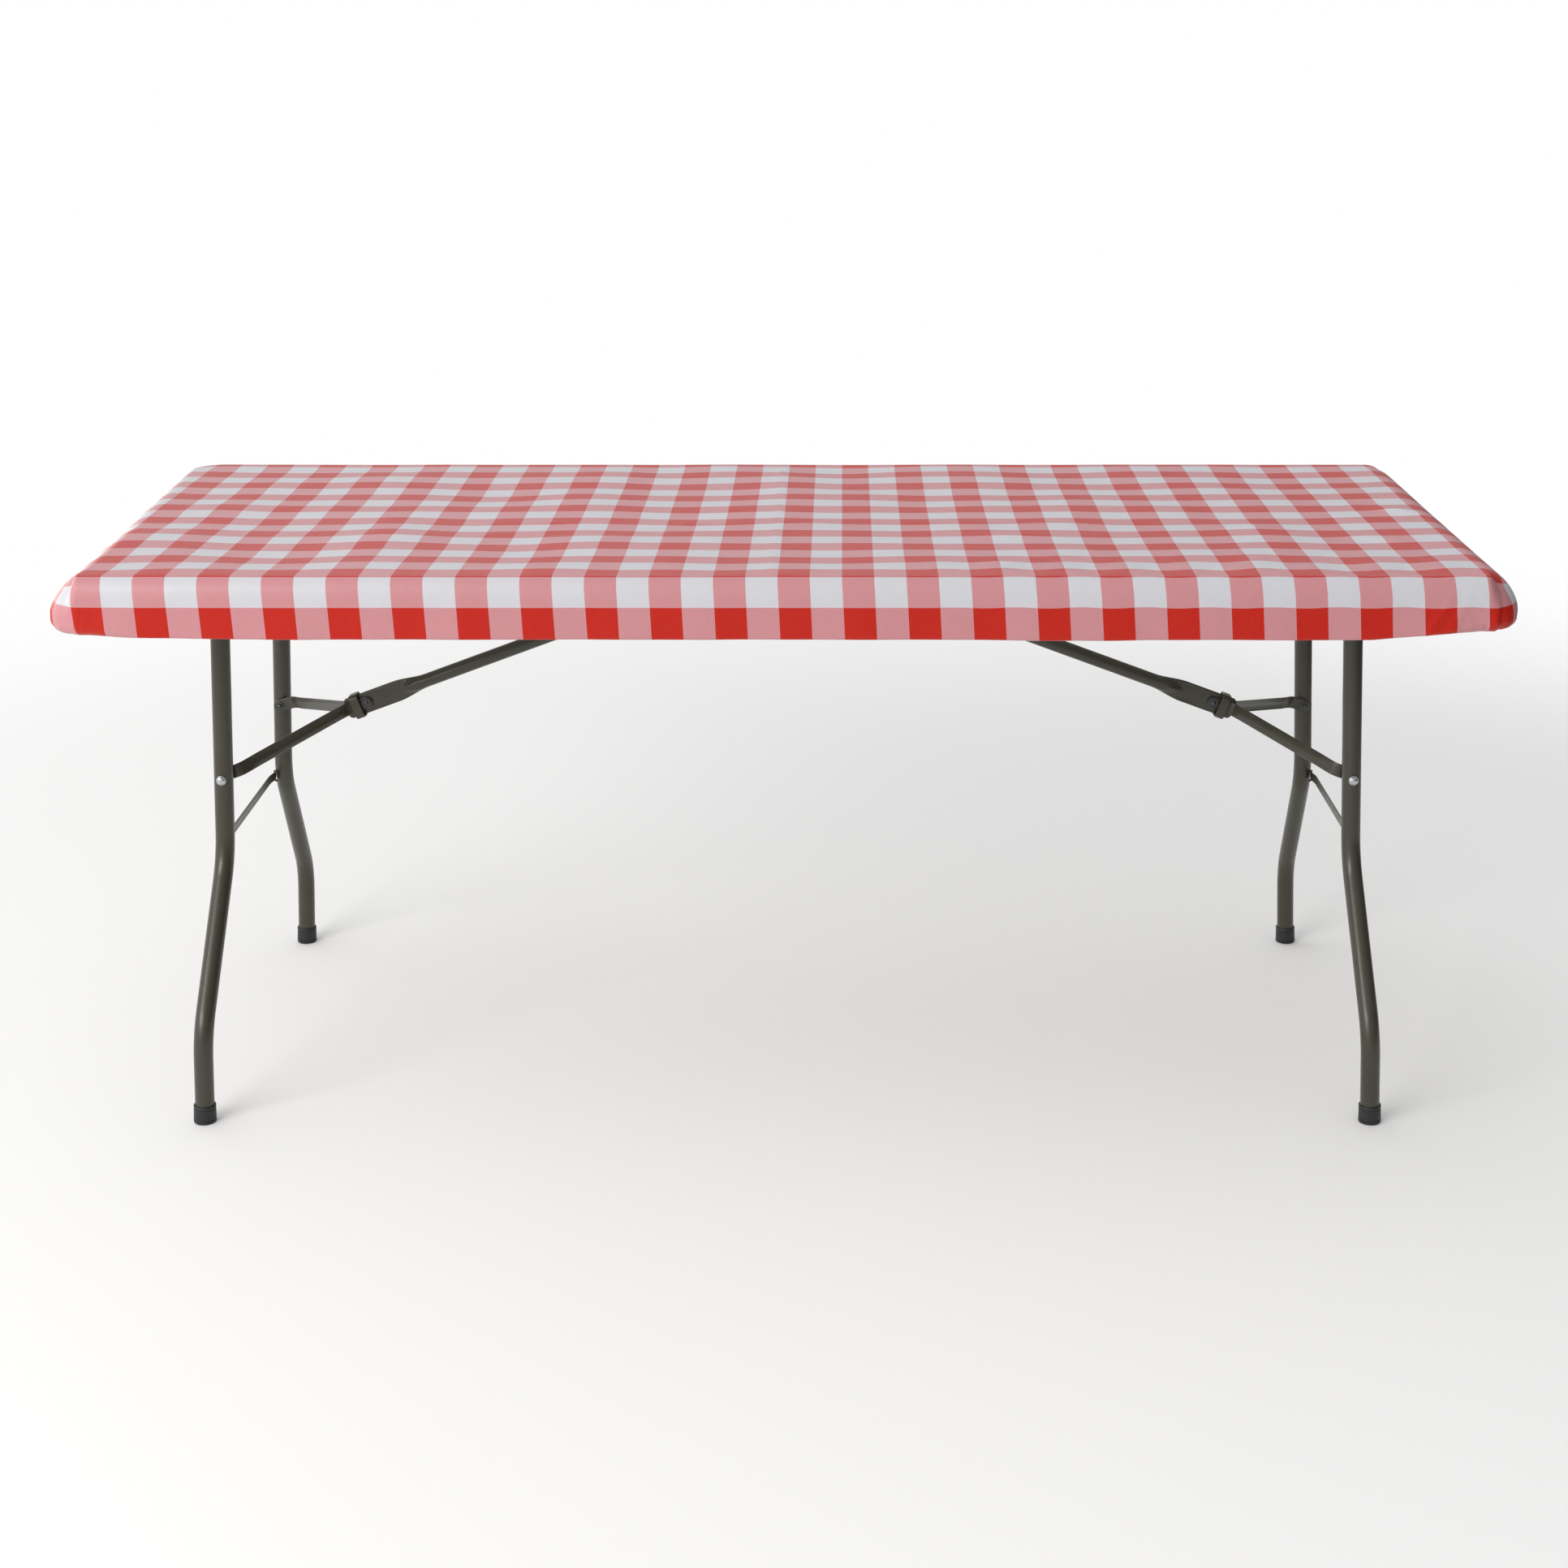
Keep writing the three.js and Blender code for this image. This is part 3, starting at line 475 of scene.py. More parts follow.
def bent(corners, radius, spacing):
    """Straight runs joined by arcs. An arc starts radius * tan(half the turn) before its corner."""
    corners = np.asarray(corners, float)
    runs = []
    reached = corners[0]
    for before, corner, after in zip(corners, corners[1:], corners[2:]):
        into, out = unit(corner - before), unit(after - corner)
        turn = math.acos(np.clip(into @ out, -1, 1))
        tangent = radius * math.tan(turn / 2)
        start = corner - into * tangent
        inward = unit(out - into * math.cos(turn))
        angle = np.linspace(0, turn, max(6, int(radius * turn / spacing * 2)), endpoint=False)[:, None]
        runs.append(straight(reached, start, spacing))
        runs.append(start + radius * (np.sin(angle) * into + (1 - np.cos(angle)) * inward))
        reached = corner + out * tangent
    runs.append(straight(reached, corners[-1], spacing))
    return np.concatenate([*runs, corners[-1:]])


def circle(radius, sides=32):
    angle = np.linspace(0, 2 * np.pi, sides, endpoint=False)
    return np.stack([np.cos(angle), np.sin(angle)], -1) * radius


def bead(centre, first, second, thickness, ripples=22):
    """A weld bead: a rippled ring through centre + cos * first + sin * second."""
    angle = np.linspace(0, 2 * np.pi, 88, endpoint=False)[:, None]
    path = centre + np.cos(angle) * first + np.sin(angle) * second
    outward = unit(path - centre)
    lift = unit(np.cross(first, second))
    around = circle(thickness, 10)[None]
    swell = 1 + 0.14 * np.sin(angle * ripples)[..., None]
    return path[:, None] + swell * (around[..., :1] * outward[:, None] + around[..., 1:] * lift)


def make_piece(name, skins, finishes, body, stands_for=(), map_name=None, crease=38):
    """One object from several sheets of points. Doubled points are merged, so seams and poles close, and
    faces are turned outwards."""
    starts = np.cumsum([0, *(len(s["points"]) for s in skins[:-1])])
    points = np.concatenate([s["points"] for s in skins])
    faces = np.concatenate([s["faces"] + start for s, start in zip(skins, starts)])
    mesh = bpy.data.meshes.new(name)
    mesh.from_pydata(points.tolist(), [], faces.tolist())
    numbers = np.concatenate([np.full(len(s["faces"]), s["material"]) for s in skins])
    mesh.polygons.foreach_set("material_index", numbers.astype(np.int32))
    if map_name:
        flat = np.concatenate([s["flat"] for s in skins])
        layer = mesh.uv_layers.new(name=map_name)
        layer.uv.foreach_set("vector", flat[faces.ravel()].astype(np.float32).ravel())
    shaped = bmesh.new()
    shaped.from_mesh(mesh)
    bmesh.ops.remove_doubles(shaped, verts=shaped.verts, dist=1e-6)
    bmesh.ops.recalc_face_normals(shaped, faces=shaped.faces)
    shaped.to_mesh(mesh)
    shaped.free()
    mesh.polygons.foreach_set("use_smooth", np.ones(len(mesh.polygons), bool))
    mesh.set_sharp_from_angle(angle=math.radians(crease))
    for finish in finishes:
        mesh.materials.append(finish)
    return show(bpy.data.objects.new(name, mesh), body, stands_for)


def show(piece, body, stands_for):
    """Puts a piece in the scene, on its body and the CAD nodes that it stands for."""
    bpy.context.scene.collection.objects.link(piece)
    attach(piece, body)
    if stands_for:
        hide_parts(*stands_for)
    return piece


def softened(node, name, body, finish, width):
    """A pressed sheet part: a merged copy of its CAD node with rounded edges."""
    mesh = frame["nodes"][node].data.copy()
    shaped = bmesh.new()
    shaped.from_mesh(mesh)
    bmesh.ops.remove_doubles(shaped, verts=shaped.verts, dist=1e-6)
    bmesh.ops.dissolve_limit(
        shaped, angle_limit=math.radians(2), verts=shaped.verts, edges=shaped.edges, delimit={"NORMAL"},
    )
    shaped.to_mesh(mesh)
    shaped.free()
    mesh.polygons.foreach_set("use_smooth", np.ones(len(mesh.polygons), bool))
    mesh.set_sharp_from_angle(angle=math.radians(38))
    mesh.materials.clear()
    mesh.materials.append(finish)
    piece = bpy.data.objects.new(name, mesh)
    rounding = piece.modifiers.new("Rounded edges", "BEVEL")
    rounding.width = width
    rounding.segments = 2
    rounding.limit_method = "ANGLE"
    rounding.angle_limit = math.radians(38)
    rounding.harden_normals = True
    return show(piece, body, [node])


# ---- Cloth ----


def spaced(half, end_zone, fine, coarse):
    """Positions from -half to half, fine within end_zone of each end and coarse between."""
    inner = half - end_zone
    ends = np.linspace(inner, half, round(end_zone / fine) + 1)
    between = np.linspace(-inner, inner, round(2 * inner / coarse) + 1)
    return np.concatenate([-ends[:0:-1], between, ends[1:]])


def outline(xs, ys, corner_steps):
    """Columns round the inner rectangle, anticlockwise from the front left: the point on it, and which way
    is out. At a corner the point stays and the direction turns."""
    steps = np.concatenate([[0.006], np.arange(1, corner_steps) / corner_steps, [0.994]])
    turn = (steps * np.pi / 2)[:, None]
    bases, normals = [], []
    sides = [
        (np.stack([xs, np.full_like(xs, ys[0])], -1), (0, -1), (1, 0)),
        (np.stack([np.full_like(ys, xs[-1]), ys], -1), (1, 0), (0, 1)),
        (np.stack([xs[::-1], np.full_like(xs, ys[-1])], -1), (0, 1), (-1, 0)),
        (np.stack([np.full_like(ys, xs[0]), ys[::-1]], -1), (-1, 0), (0, -1)),
    ]
    for side, out, following in sides:
        bases += [side, np.broadcast_to(side[-1], (corner_steps + 1, 2))]
        corner = np.cos(turn) * np.array(out) + np.sin(turn) * np.array(following)
        normals += [np.broadcast_to(np.array(out, float), side.shape), corner]
    return np.concatenate(bases), np.concatenate(normals)


def soft_waves(x, y, seed, count=16, height=0.00030):
    """Slow waves in the vinyl: a sum of sines in seeded directions, 70 to 330 mm long."""
    chosen = np.random.default_rng(seed)
    length = chosen.uniform(0.07, 0.33, count)
    heading = chosen.uniform(0, np.pi, count)
    phase = chosen.uniform(0, 2 * np.pi, count)
    place = x[..., None] * np.cos(heading) + y[..., None] * np.sin(heading)
    return (np.sin(2 * np.pi * place / length + phase) * height * (length / 0.2)).sum(-1)


def ridge(distance, width):
    """A soft ridge: a bell curve of that width."""
    return np.exp(-(distance / width) ** 2)


def top_relief(x, y, half_x, half_y, cloth):
    """Height of the cloth over the flat top: a shallow dish, the two packing creases, a few lifted
    puckers, the row of small bulges behind the front edge on the right, and slow waves. It dies out at the
    edges."""
    inside = smooth((half_x - abs(x)) / 0.06) * smooth((half_y - abs(y)) / 0.05)
    dish = -cloth.dish * (1 - (y / half_y) ** 2) * (1 - (x / half_x) ** 6)
    long_crease = ridge(y + 0.045 + 0.003 * np.sin(x * 21), 0.0042) * smooth((x + 0.44) / 0.10)
    long_crease = long_crease * smooth((0.54 - x) / 0.10) * (0.0015 + 0.0006 * np.sin(x * 39 + 1))
    shoulder = -ridge(y + 0.056, 0.008) * 0.0006 * smooth((x + 0.44) / 0.1) * smooth((0.54 - x) / 0.1)
    cross_crease = ridge(x + 0.015 + 0.002 * np.sin(y * 30), 0.0032) * (0.0010 + 0.0004 * np.sin(y * 47))
    puckers = sum(
        1.35 * height * ridge((x - px) * math.cos(turn) + (y - py) * math.sin(turn), length)
        * ridge((y - py) * math.cos(turn) - (x - px) * math.sin(turn), width)
        for px, py, turn, length, width, height in (
            (0.302, -0.121, 0.10, 0.045, 0.012, 0.0024),
            (0.280, -0.295, 0.05, 0.035, 0.010, 0.0020),
            (0.845, 0.023, -0.70, 0.060, 0.014, 0.0022),
            (0.622, -0.071, 0.10, 0.030, 0.010, 0.0018),
            (0.780, -0.140, -0.55, 0.060, 0.016, 0.0012),
            (-0.330, -0.100, 0.08, 0.060, 0.009, 0.0009),
            (-0.560, 0.110, -0.10, 0.070, 0.011, 0.0008),
            (0.110, 0.150, 0.04, 0.080, 0.010, 0.0008),
        )
    )
    bulges = 0.0017 * (0.5 + 0.5 * np.sin(2 * np.pi * (x - 0.09) / BULGE_PITCH)) * smooth((x - 0.10) / 0.15)
    bulges = bulges * ridge(y + 0.315, 0.050)
    creases = long_crease + shoulder + cross_crease
    return (dish + creases + puckers + bulges + soft_waves(x, y, cloth.seed)) * inside


def hem_rise(base, half_y):
    """How far the hem is pulled up, by place round the table: a steady climb to the front right corner
    that eases off at the corner itself, a slight one at the front left, a sag between, and an even change
    along each end."""
    x, y = base[:, 0], base[:, 1]
    front = 0.080 * np.clip(x - 0.728, 0, 1) + 0.0030 * np.clip((-x - 0.62) / 0.24, 0, 1) ** 1.3 - 0.0010
    front = front - 0.0016 * ridge(x - 0.37, 0.12) - 0.0010 * ridge(x - 0.66, 0.08)
    front = front - 0.0030 * ridge(x - 0.8645, 0.035)
    back = 0.009 * np.clip((abs(x) - 0.60) / 0.30, 0, 1) ** 1.6
    return front + (back - front) * smooth((y + half_y) / (2 * half_y))


def round_the_corner(normal):
    """The angle turned away from the long sides: 0 along them and a quarter turn along the ends."""
    return np.arccos(np.clip(abs(normal[:, 1]), 0, 1))[None]


def edge_shape(base, normal, cloth):
    """How wide the turned-down edge of each column is, how tall, and the power its arc is drawn with. Over
    1 the power draws it towards a straight slope, as taut cloth goes at the front corners. The left end's
    widens from back to front, and the right end's is even."""
    forward = np.clip(-base[:, 1] / 0.33, -1, 1)[None]
    left = (base[:, 0] < 0)[None]
    at_end = smooth((round_the_corner(normal) - 0.04) / (0.56 + 0.60 * (base[:, 1] > 0)[None]))
    ends = np.where(left, cloth.left_edge + 0.020 * np.minimum(forward * 1.25, 0.3), cloth.right_edge)
    wide = cloth.edge + (ends - cloth.edge) * at_end
    slope = np.where(left, 1.02 + 0.42 * np.clip(forward, 0, 1), 1.10 + 0.05 * forward)
    return wide, wide * (1.75 - 0.69 * at_end), 1 + (slope - 1) * at_end


def skirt_columns(cloth, half_x, half_y, base, normal, low, high):
    """The rolled-over edge, skirt and tucked hem, as rows of (offset from the inner rectangle, height) for
    each column. Rows are: flat margin, quarter arc, straight skirt, quarter arc of the hem, and the part
    tucked under."""
    near = np.where(abs(normal[:, 1]) > 0.999, half_x - abs(base[:, 0]), half_y - abs(base[:, 1]))
    near = np.where((abs(normal[:, 0]) > 0.001) & (abs(normal[:, 1]) > 0.001), 0, near)[None]
    cornered = ridge(near, 0.040)
    wide, tall, power = edge_shape(base, normal, cloth)
    hem = low.z + hem_rise(base, half_y)[None]
    roll = 0.004 + 0.011 * cornered
    tuck = 0.004 + 0.011 * cornered
    lift = 0.004 - 0.0025 * cornered
    tail = 0.007 * (1 - cornered)
    flat = np.linspace(0, 1, 6)[:-1, None] * (cloth.corner - wide)
    arc = np.linspace(0, np.pi / 2, 10)[:, None] + 0 * near
    run = np.linspace(0, 1, 12)[1:-1, None]
    curl = np.linspace(0, np.pi / 2, 8)[:, None]
    under = np.linspace(0, np.pi / 2, 6)[1:, None]
    rise = np.array([0.5, 1.0])[:, None]
    skirt_top = high.z - tall
    offset = np.concatenate([
        flat,
        cloth.corner - wide + wide * np.sin(arc) ** power,
        cloth.corner + 0 * run * near,
        cloth.corner - roll * (1 - np.cos(curl)),
        cloth.corner - roll - tuck * np.sin(under),
        cloth.corner - roll - tuck + 0 * rise,
    ])
    height = np.concatenate([
        high.z + 0 * flat,
        skirt_top + tall * np.clip(np.cos(arc), 0, 1) ** power,
        skirt_top + (hem + roll - skirt_top) * run,
        hem + roll * (1 - np.sin(curl)),
        hem + lift * (1 - np.cos(under)),
        hem + lift + tail * rise,
    ])
    return offset, height, near


def gathered(cloth, base, normal, offset, height, near, top):
    """How far the skirt stands out: elastic gathers that die away from each corner and grow towards the
    hem, two slanting pulls near the front right corner, a hard fold just round it, and long shallow waves
    elsewhere."""
    corner_turn = np.arctan2(normal[:, 1], normal[:, 0])[None]
    round_it = (base[:, 0] * abs(normal[:, 1]) + base[:, 1] * abs(normal[:, 0]))[None]
    round_it = round_it + cloth.corner * corner_turn
    depth = np.clip(top - height, 0, 1)
    below = smooth((depth - 0.018) / 0.050)
    front = (base[:, 1] < 0)[None] * smooth(0.35 - normal[:, 1] * 1.5)[None]
    lean = round_it - 0.35 * depth * np.sign(base[:, 0])[None]
    waves = np.sin(lean * 2 * np.pi / 0.0225 + 0.6) + 0.55 * np.sin(lean * 2 * np.pi / 0.0139 + 2.1)
    left = (base[:, 0] < 0)[None]
    fullness = (0.6 - 0.45 * front) * np.where(left, 0.55, 1.0)
    pull = cloth.gather * waves * ridge(near, 0.052) * below ** 1.4 * fullness
    pull = pull - 0.0018 * ridge(near, 0.060) * left * front
    x = base[:, 0][None] + normal[:, 0][None] * cloth.corner
    slanting = 0.0017 * ridge(x - 0.800 - 0.55 * (0.062 - depth), 0.0045)
    slanting = slanting + 0.0012 * ridge(x - 0.826 - 0.5 * (0.060 - depth), 0.004)
    slanting = slanting * front * ridge(depth - 0.052, 0.022)
    hard_fold = 0.0030 * ridge(x - 0.879 - 3.6 * (depth - 0.052) ** 2, 0.0038) * front * below
    hard_fold = hard_fold - 0.0022 * ridge(x - 0.889, 0.005) * front * below
    loose = 0.0007 * np.sin(round_it * 2 * np.pi / 0.237 + 1.0)
    loose = loose + 0.0005 * np.sin(round_it * 2 * np.pi / 0.101)
    return (pull + slanting + hard_fold + loose * below) * (offset > cloth.corner * 0.55)


def flat_map(cloth, base, normal, offset, height, top):
    """Where each point lies on the flat cloth. On the top and the ends it is the inner rectangle's own
    place carried outwards by the distance over the edge. Round a corner the skirt is the long side's cloth
    wrapped on, so its rows stay level and its columns count the way round; the spare cloth goes into a
    pleat where the end begins."""
    step = np.hypot(np.diff(offset, axis=0), np.diff(height, axis=0))
    travelled = np.concatenate([np.zeros((1, step.shape[1])), np.cumsum(step, axis=0)])
    fallen = np.clip(top - height, 0, 1)
    plain = np.argmin(abs(base[:, 0]) + 9 * (normal[:, 1] > -0.99))
    level = np.interp(fallen, fallen[5:LEVEL_ROWS, plain], travelled[5:LEVEL_ROWS, plain])
    level[LEVEL_ROWS:] = level[LEVEL_ROWS - 1] + (travelled[LEVEL_ROWS:] - travelled[LEVEL_ROWS - 1])
    turned_away = round_the_corner(normal)
    wrapped = smooth((travelled - 0.010) / 0.050) * (turned_away < 1.57) * (turned_away > 0.001)
    distance = travelled + (level - travelled) * wrapped
    first_row = 0.0757 + 0.0030 * smooth((-base[:, 0] - 0.84) / 0.03) * smooth(turned_away / 1.2)
    distance = np.minimum(distance, first_row) + 0.93 * np.maximum(distance - first_row, 0)
    flat = base[None] + normal[None] * distance[..., None]
    side = np.sign(base)[None]
    round_about = cloth.corner * turned_away
    wrap = np.stack([
        base[None, :, 0] + side[..., 0] * round_about + 0 * distance,
        base[None, :, 1] + side[..., 1] * distance,
    ], -1)
    flat = flat + (wrap - flat) * wrapped[..., None]
    x = base[:, 0][None] + normal[:, 0][None] * cloth.corner
    depth = fallen * smooth((travelled - 0.034) / 0.03)
    lean = 0.038 + 0.042 * smooth((x + 0.1) / 0.6)
    drawn = 0.0030 * smooth((-x - 0.83) / 0.06) * (depth / 0.077) ** 1.5
    flat[..., 0] -= (lean * depth + drawn) * (base[:, 1] < 0)[None] * (turned_away < 1.57)
    return flat


def row_wobble(x, y):
    """How far the printed rows wander behind the front edge on the right: a sine along the table."""
    strength = smooth((x - 0.12) / 0.2) * ridge(y + 0.29, 0.08)
    return 0.0024 * np.sin(2 * np.pi * x / BULGE_PITCH + 0.8) * strength


class TABLE_OT_cloth(bpy.types.Operator):
    """The fitted check cloth and the elastic in its hem"""

    bl_idname = "table.cloth"
    bl_label = "Fitted cloth"

    def execute(self, context):
        cloth = context.scene.cloth_settings
        low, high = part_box("tablecloth")
        half_x, half_y = high.x - cloth.corner, high.y - cloth.corner
        xs = spaced(half_x, 0.170, 0.0048, 0.0100)
        ys = spaced(half_y, 0.110, 0.0050, 0.0070)
        x, y = np.meshgrid(xs, ys, indexing="ij")
        relief = top_relief(x, y, half_x + cloth.corner, half_y + cloth.corner, cloth)
        middle_part = np.stack([x, y, high.z + relief], -1)
        middle_flat = np.stack([x, y + row_wobble(x, y)], -1)

        base, normal = outline(xs, ys, 40)
        offset, height, near = skirt_columns(cloth, half_x, half_y, base, normal, low, high)
        stand = gathered(cloth, base, normal, offset, height, near, high.z)
        flat = flat_map(cloth, base, normal, offset, height, high.z)
        plan = base[None] + normal[None] * (offset + stand)[..., None]
        still = base[None] + normal[None] * offset[..., None]
        relief = top_relief(still[..., 0], still[..., 1], half_x + cloth.corner, half_y + cloth.corner, cloth)
        flat[..., 1] += row_wobble(still[..., 0], still[..., 1])
        edge = np.concatenate([plan, (height + relief)[..., None]], -1)

        finishes = [
            finish_named("check_vinyl", check_vinyl, cloth), finish_named("flannel", flannel, cloth),
        ]
        piece = make_piece(
            "fitted_cloth",
            [skin(middle_part, closed=False, flat=middle_flat), skin(edge, flat=flat)],
            finishes, "table", ["tablecloth"], "flat_cloth", crease=180,
        )
        if np.mean([p.normal.z for p in piece.data.polygons[:400]]) < 0:
            piece.data.flip_normals()
        walls = piece.modifiers.new("Vinyl and flannel", "SOLIDIFY")
        walls.thickness = cloth.thickness
        walls.offset = -1
        walls.material_offset = 1
        walls.use_even_offset = False

        band = self.elastic(cloth, base, normal, offset, height)
        return {"FINISHED"}

    def elastic(self, cloth, base, normal, offset, height):
        """The band sewn in the hem: a flat loop of section 8 by 2 mm that follows the hem and is ruffled
        by it."""
        steps = np.diff(base + normal * cloth.corner, axis=0, append=(base + normal)[:1])
        run = np.linalg.norm(steps, axis=1)
        along = np.cumsum(np.minimum(run, 0.02))
        ruffle = 0.0006 * np.sin(along * 2 * np.pi / 0.011) + 0.0004 * np.sin(along * 2 * np.pi / 0.0173)
        section = superellipse(0.0010, 0.0038, 0.5, 14)
        inset = offset[-1] - 0.0030 + ruffle
        middle_height = np.minimum(height[-1] - 0.0015, 0.6945) + 0.5 * ruffle
        plan = base[None] + normal[None] * (inset[None] + section[:, None, 0])[..., None]
        tall = middle_height[None] + section[:, None, 1]
        grid = np.concatenate([plan, tall[..., None]], -1)
        flat = np.stack(np.broadcast_arrays(along[None], section[:, None, 1]), -1)
        return make_piece(
            "hem_elastic", [skin(grid, looped=True, flat=flat)],
            [finish_named("knitted_elastic", knitted_elastic, cloth)],
            "table", ["elastic_hem"], "along_band", crease=180,
        )


# ---- Table top and what is screwed to it ----


class TABLE_OT_top(bpy.types.Operator):
    """The moulded table top, with rows of dimples under its deck"""

    bl_idname = "table.top"
    bl_label = "Table top"

    def execute(self, context):
        top = context.scene.top_settings
        cloth = context.scene.cloth_settings
        low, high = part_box("tabletop_panel")
        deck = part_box("side_rail_front")[1].z + 0.0003
        corner = cloth.corner - (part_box("tablecloth")[1].x - high.x)
        half_x, half_y = high.x - corner, high.y - corner
        xs, ys = spaced(half_x, 0.100, 0.020, 0.0075), spaced(half_y, 0.060, 0.012, 0.0075)
        x, y = np.meshgrid(xs, ys, indexing="ij")
        sag = 0.0032 * (1 - (y / high.y) ** 2) * (1 - (x / high.x) ** 6)
        upper = np.stack([x, y, high.z - sag], -1)
        pitch = 2 * np.pi / top.dimple_pitch
        pattern = np.clip(np.cos(x * pitch) * np.cos(y * pitch) - 0.45, 0, 1) / 0.55
        mounts = smooth((abs(abs(x) - abs(JOINTS["left_leg_fold"]["pos_m"][0])) - 0.05) / 0.02)
        rails = smooth((0.31 - abs(y)) / 0.01) * smooth((abs(x) - 0.03) / 0.02)
        rails = rails * smooth((0.82 - abs(x)) / 0.02)
        under = np.stack([x, y, deck + top.dimple * smooth(pattern) * mounts * rails], -1)

        base, normal = outline(xs, ys, 14)
        arc = np.linspace(0, np.pi / 2, 8)
        foot = np.linspace(0, np.pi, 7)
        half_wall = top.wall / 2
        inner = corner - top.wall
        root = np.linspace(0, np.pi / 2, 5)
        wide, tall, power = edge_shape(base, normal, cloth)
        wide, tall = wide - top.tighter, tall - top.tighter
        arc, foot, root, still = arc[:, None], foot[:, None], root[:, None], 0 * wide
        offset = np.concatenate([
            still, (corner - wide) / 2, corner - wide + wide * np.sin(arc) ** power,
            corner - half_wall + half_wall * np.cos(foot) + still, inner - 0.004 * (1 - np.cos(root)) + still,
            inner / 2 + still, still,
        ])
        height = np.concatenate([
            high.z + still, high.z + still, high.z - tall * (1 - np.clip(np.cos(arc), 0, 1) ** power),
            low.z + half_wall * (1 - np.sin(foot)) * 0.6 + still, deck - 0.004 * (1 - np.sin(root)) + still,
            deck + still, deck + still,
        ])
        plan = base[None] + normal[None] * offset[..., None]
        rim = np.concatenate([plan, height[..., None]], -1)
        make_piece(
            "tabletop_moulding", [skin(upper, closed=False), skin(under, closed=False), skin(rim)],
            [finish_named("pebbled_plastic", pebbled_plastic, top)],
            "table", ["tabletop_panel"], crease=50,
        )
        return {"FINISHED"}


class TABLE_OT_underframe(bpy.types.Operator):
    """The side rails, the crossmember, and each leg frame's straps and brace bracket"""

    bl_idname = "table.underframe"
    bl_label = "Rails and brackets"

    def execute(self, context):
        steel = context.scene.steel_settings
        coat = finish_named("powder_coat", powder_coat, steel)
        zinc = finish_named("bright_zinc", bright_zinc, steel)
        painted = {"centre_crossmember": "crossmember_channel"}
        plated = {}
        for row in ROWS:
            painted[f"side_rail_{row}"] = f"{row}_side_rail"
        for end in ENDS:
            painted[f"{end}_brace_bracket"] = f"{end}_brace_clevis"
            for row in ROWS:
                plated[f"{end}_axle_strap_{row}"] = f"{end}_{row}_axle_strap"
        for node, name in painted.items():
            softened(node, name, "table", coat, steel.bevel)
        for node, name in plated.items():
            softened(node, name, "table", zinc, steel.bevel)
        return {"FINISHED"}


class TABLE_OT_screws(bpy.types.Operator):
    """Hexagon-headed screws with a pressed washer face, and the headed pins of the braces"""

    bl_idname = "table.screws"
    bl_label = "Screws and pins"

    def execute(self, context):
        zinc = finish_named("bright_zinc", bright_zinc, context.scene.steel_settings)
        for node in sorted(n for n in frame["nodes"] if "_screw_" in n):
            self.screw(node, zinc)
        for end in ENDS:
            self.pin(end, zinc)
        return {"FINISHED"}

    def screw(self, node, zinc):
        """A flange with a rounded rim, a chamfered hexagon below it and a threaded shank above."""
        low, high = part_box(node)
        x, y, _ = middle(node)
        radius = (high.x - low.x) / 2
        head = 0.0030
        turns = np.linspace(0, 6, 49)
        thread = 0.0020 + 0.00022 * np.cos(2 * np.pi * turns)
        tall = high.z - low.z
        shank = [[0.0020, head + 0.0002], *zip(thread, np.linspace(head + 0.0004, tall - 0.002, 49))]
        flange = [
            [0, head - 0.0011], [radius * 0.9, head - 0.0011], [radius, head - 0.0006], [radius, head],
            *shank, [0, tall],
        ]
        hexagon = [
            [0, 0.0004], [0.0014, 0.0003], [0.0018, 0], [0.0026, 0], [0.0031, 0.0004], [0.0031, 0.0021],
            [0, 0.0021],
        ]
        origin = (x, y, low.z)
        make_piece(
            node.replace("_screw", "") + "_screw",
            [skin(turned(flange, origin, (0, 0, 1), 20)), skin(turned(hexagon, origin, (0, 0, 1), 6))],
            [zinc], "table", [node], crease=30,
        )

    def pin(self, end, zinc):
        """A pin with chamfered ends and a groove near each."""
        low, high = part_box(f"{end}_brace_pin")
        x, _, z = middle(f"{end}_brace_pin")
        radius = (high.z - low.z) / 2
        reach = high.y
        groove = radius - 0.0006
        one_end = [
            [0, 0], [radius - 0.0009, 0], [radius, 0.0008], [radius, 0.0016], [groove, 0.0020],
            [groove, 0.0026], [radius, 0.0030],
        ]
        profile = [[r, -reach + h] for r, h in one_end] + [[r, reach - h] for r, h in reversed(one_end)]
        make_piece(
            f"{end}_pivot_pin", [skin(turned(profile, (x, 0, z), (0, 1, 0)))], [zinc],
            "table", [f"{end}_brace_pin"],
        )


# ---- Leg frames ----


class LegFrame:
    """Places on one leg frame, as (outwards, across, down) from its pivot."""

    def __init__(self, end):
        side = ENDS[end]
        self.pivot = np.array(JOINTS[f"{end}_leg_fold"]["pos_m"], float)
        foot = np.array(MOUNTS[f"foot_{end}_front"]["pos_m"], float)
        fall = foot - self.pivot
        fall[1] = 0
        self.length = float(np.linalg.norm(fall))
        self.down = fall / self.length
        self.out = np.array([-side * self.down[2], 0, side * self.down[0]])
        self.foot_reach = abs(foot[1])

    def place(self, points):
        points = np.asarray(points, float)
        return self.pivot + points @ np.stack([self.out, np.array([0, 1.0, 0]), self.down])


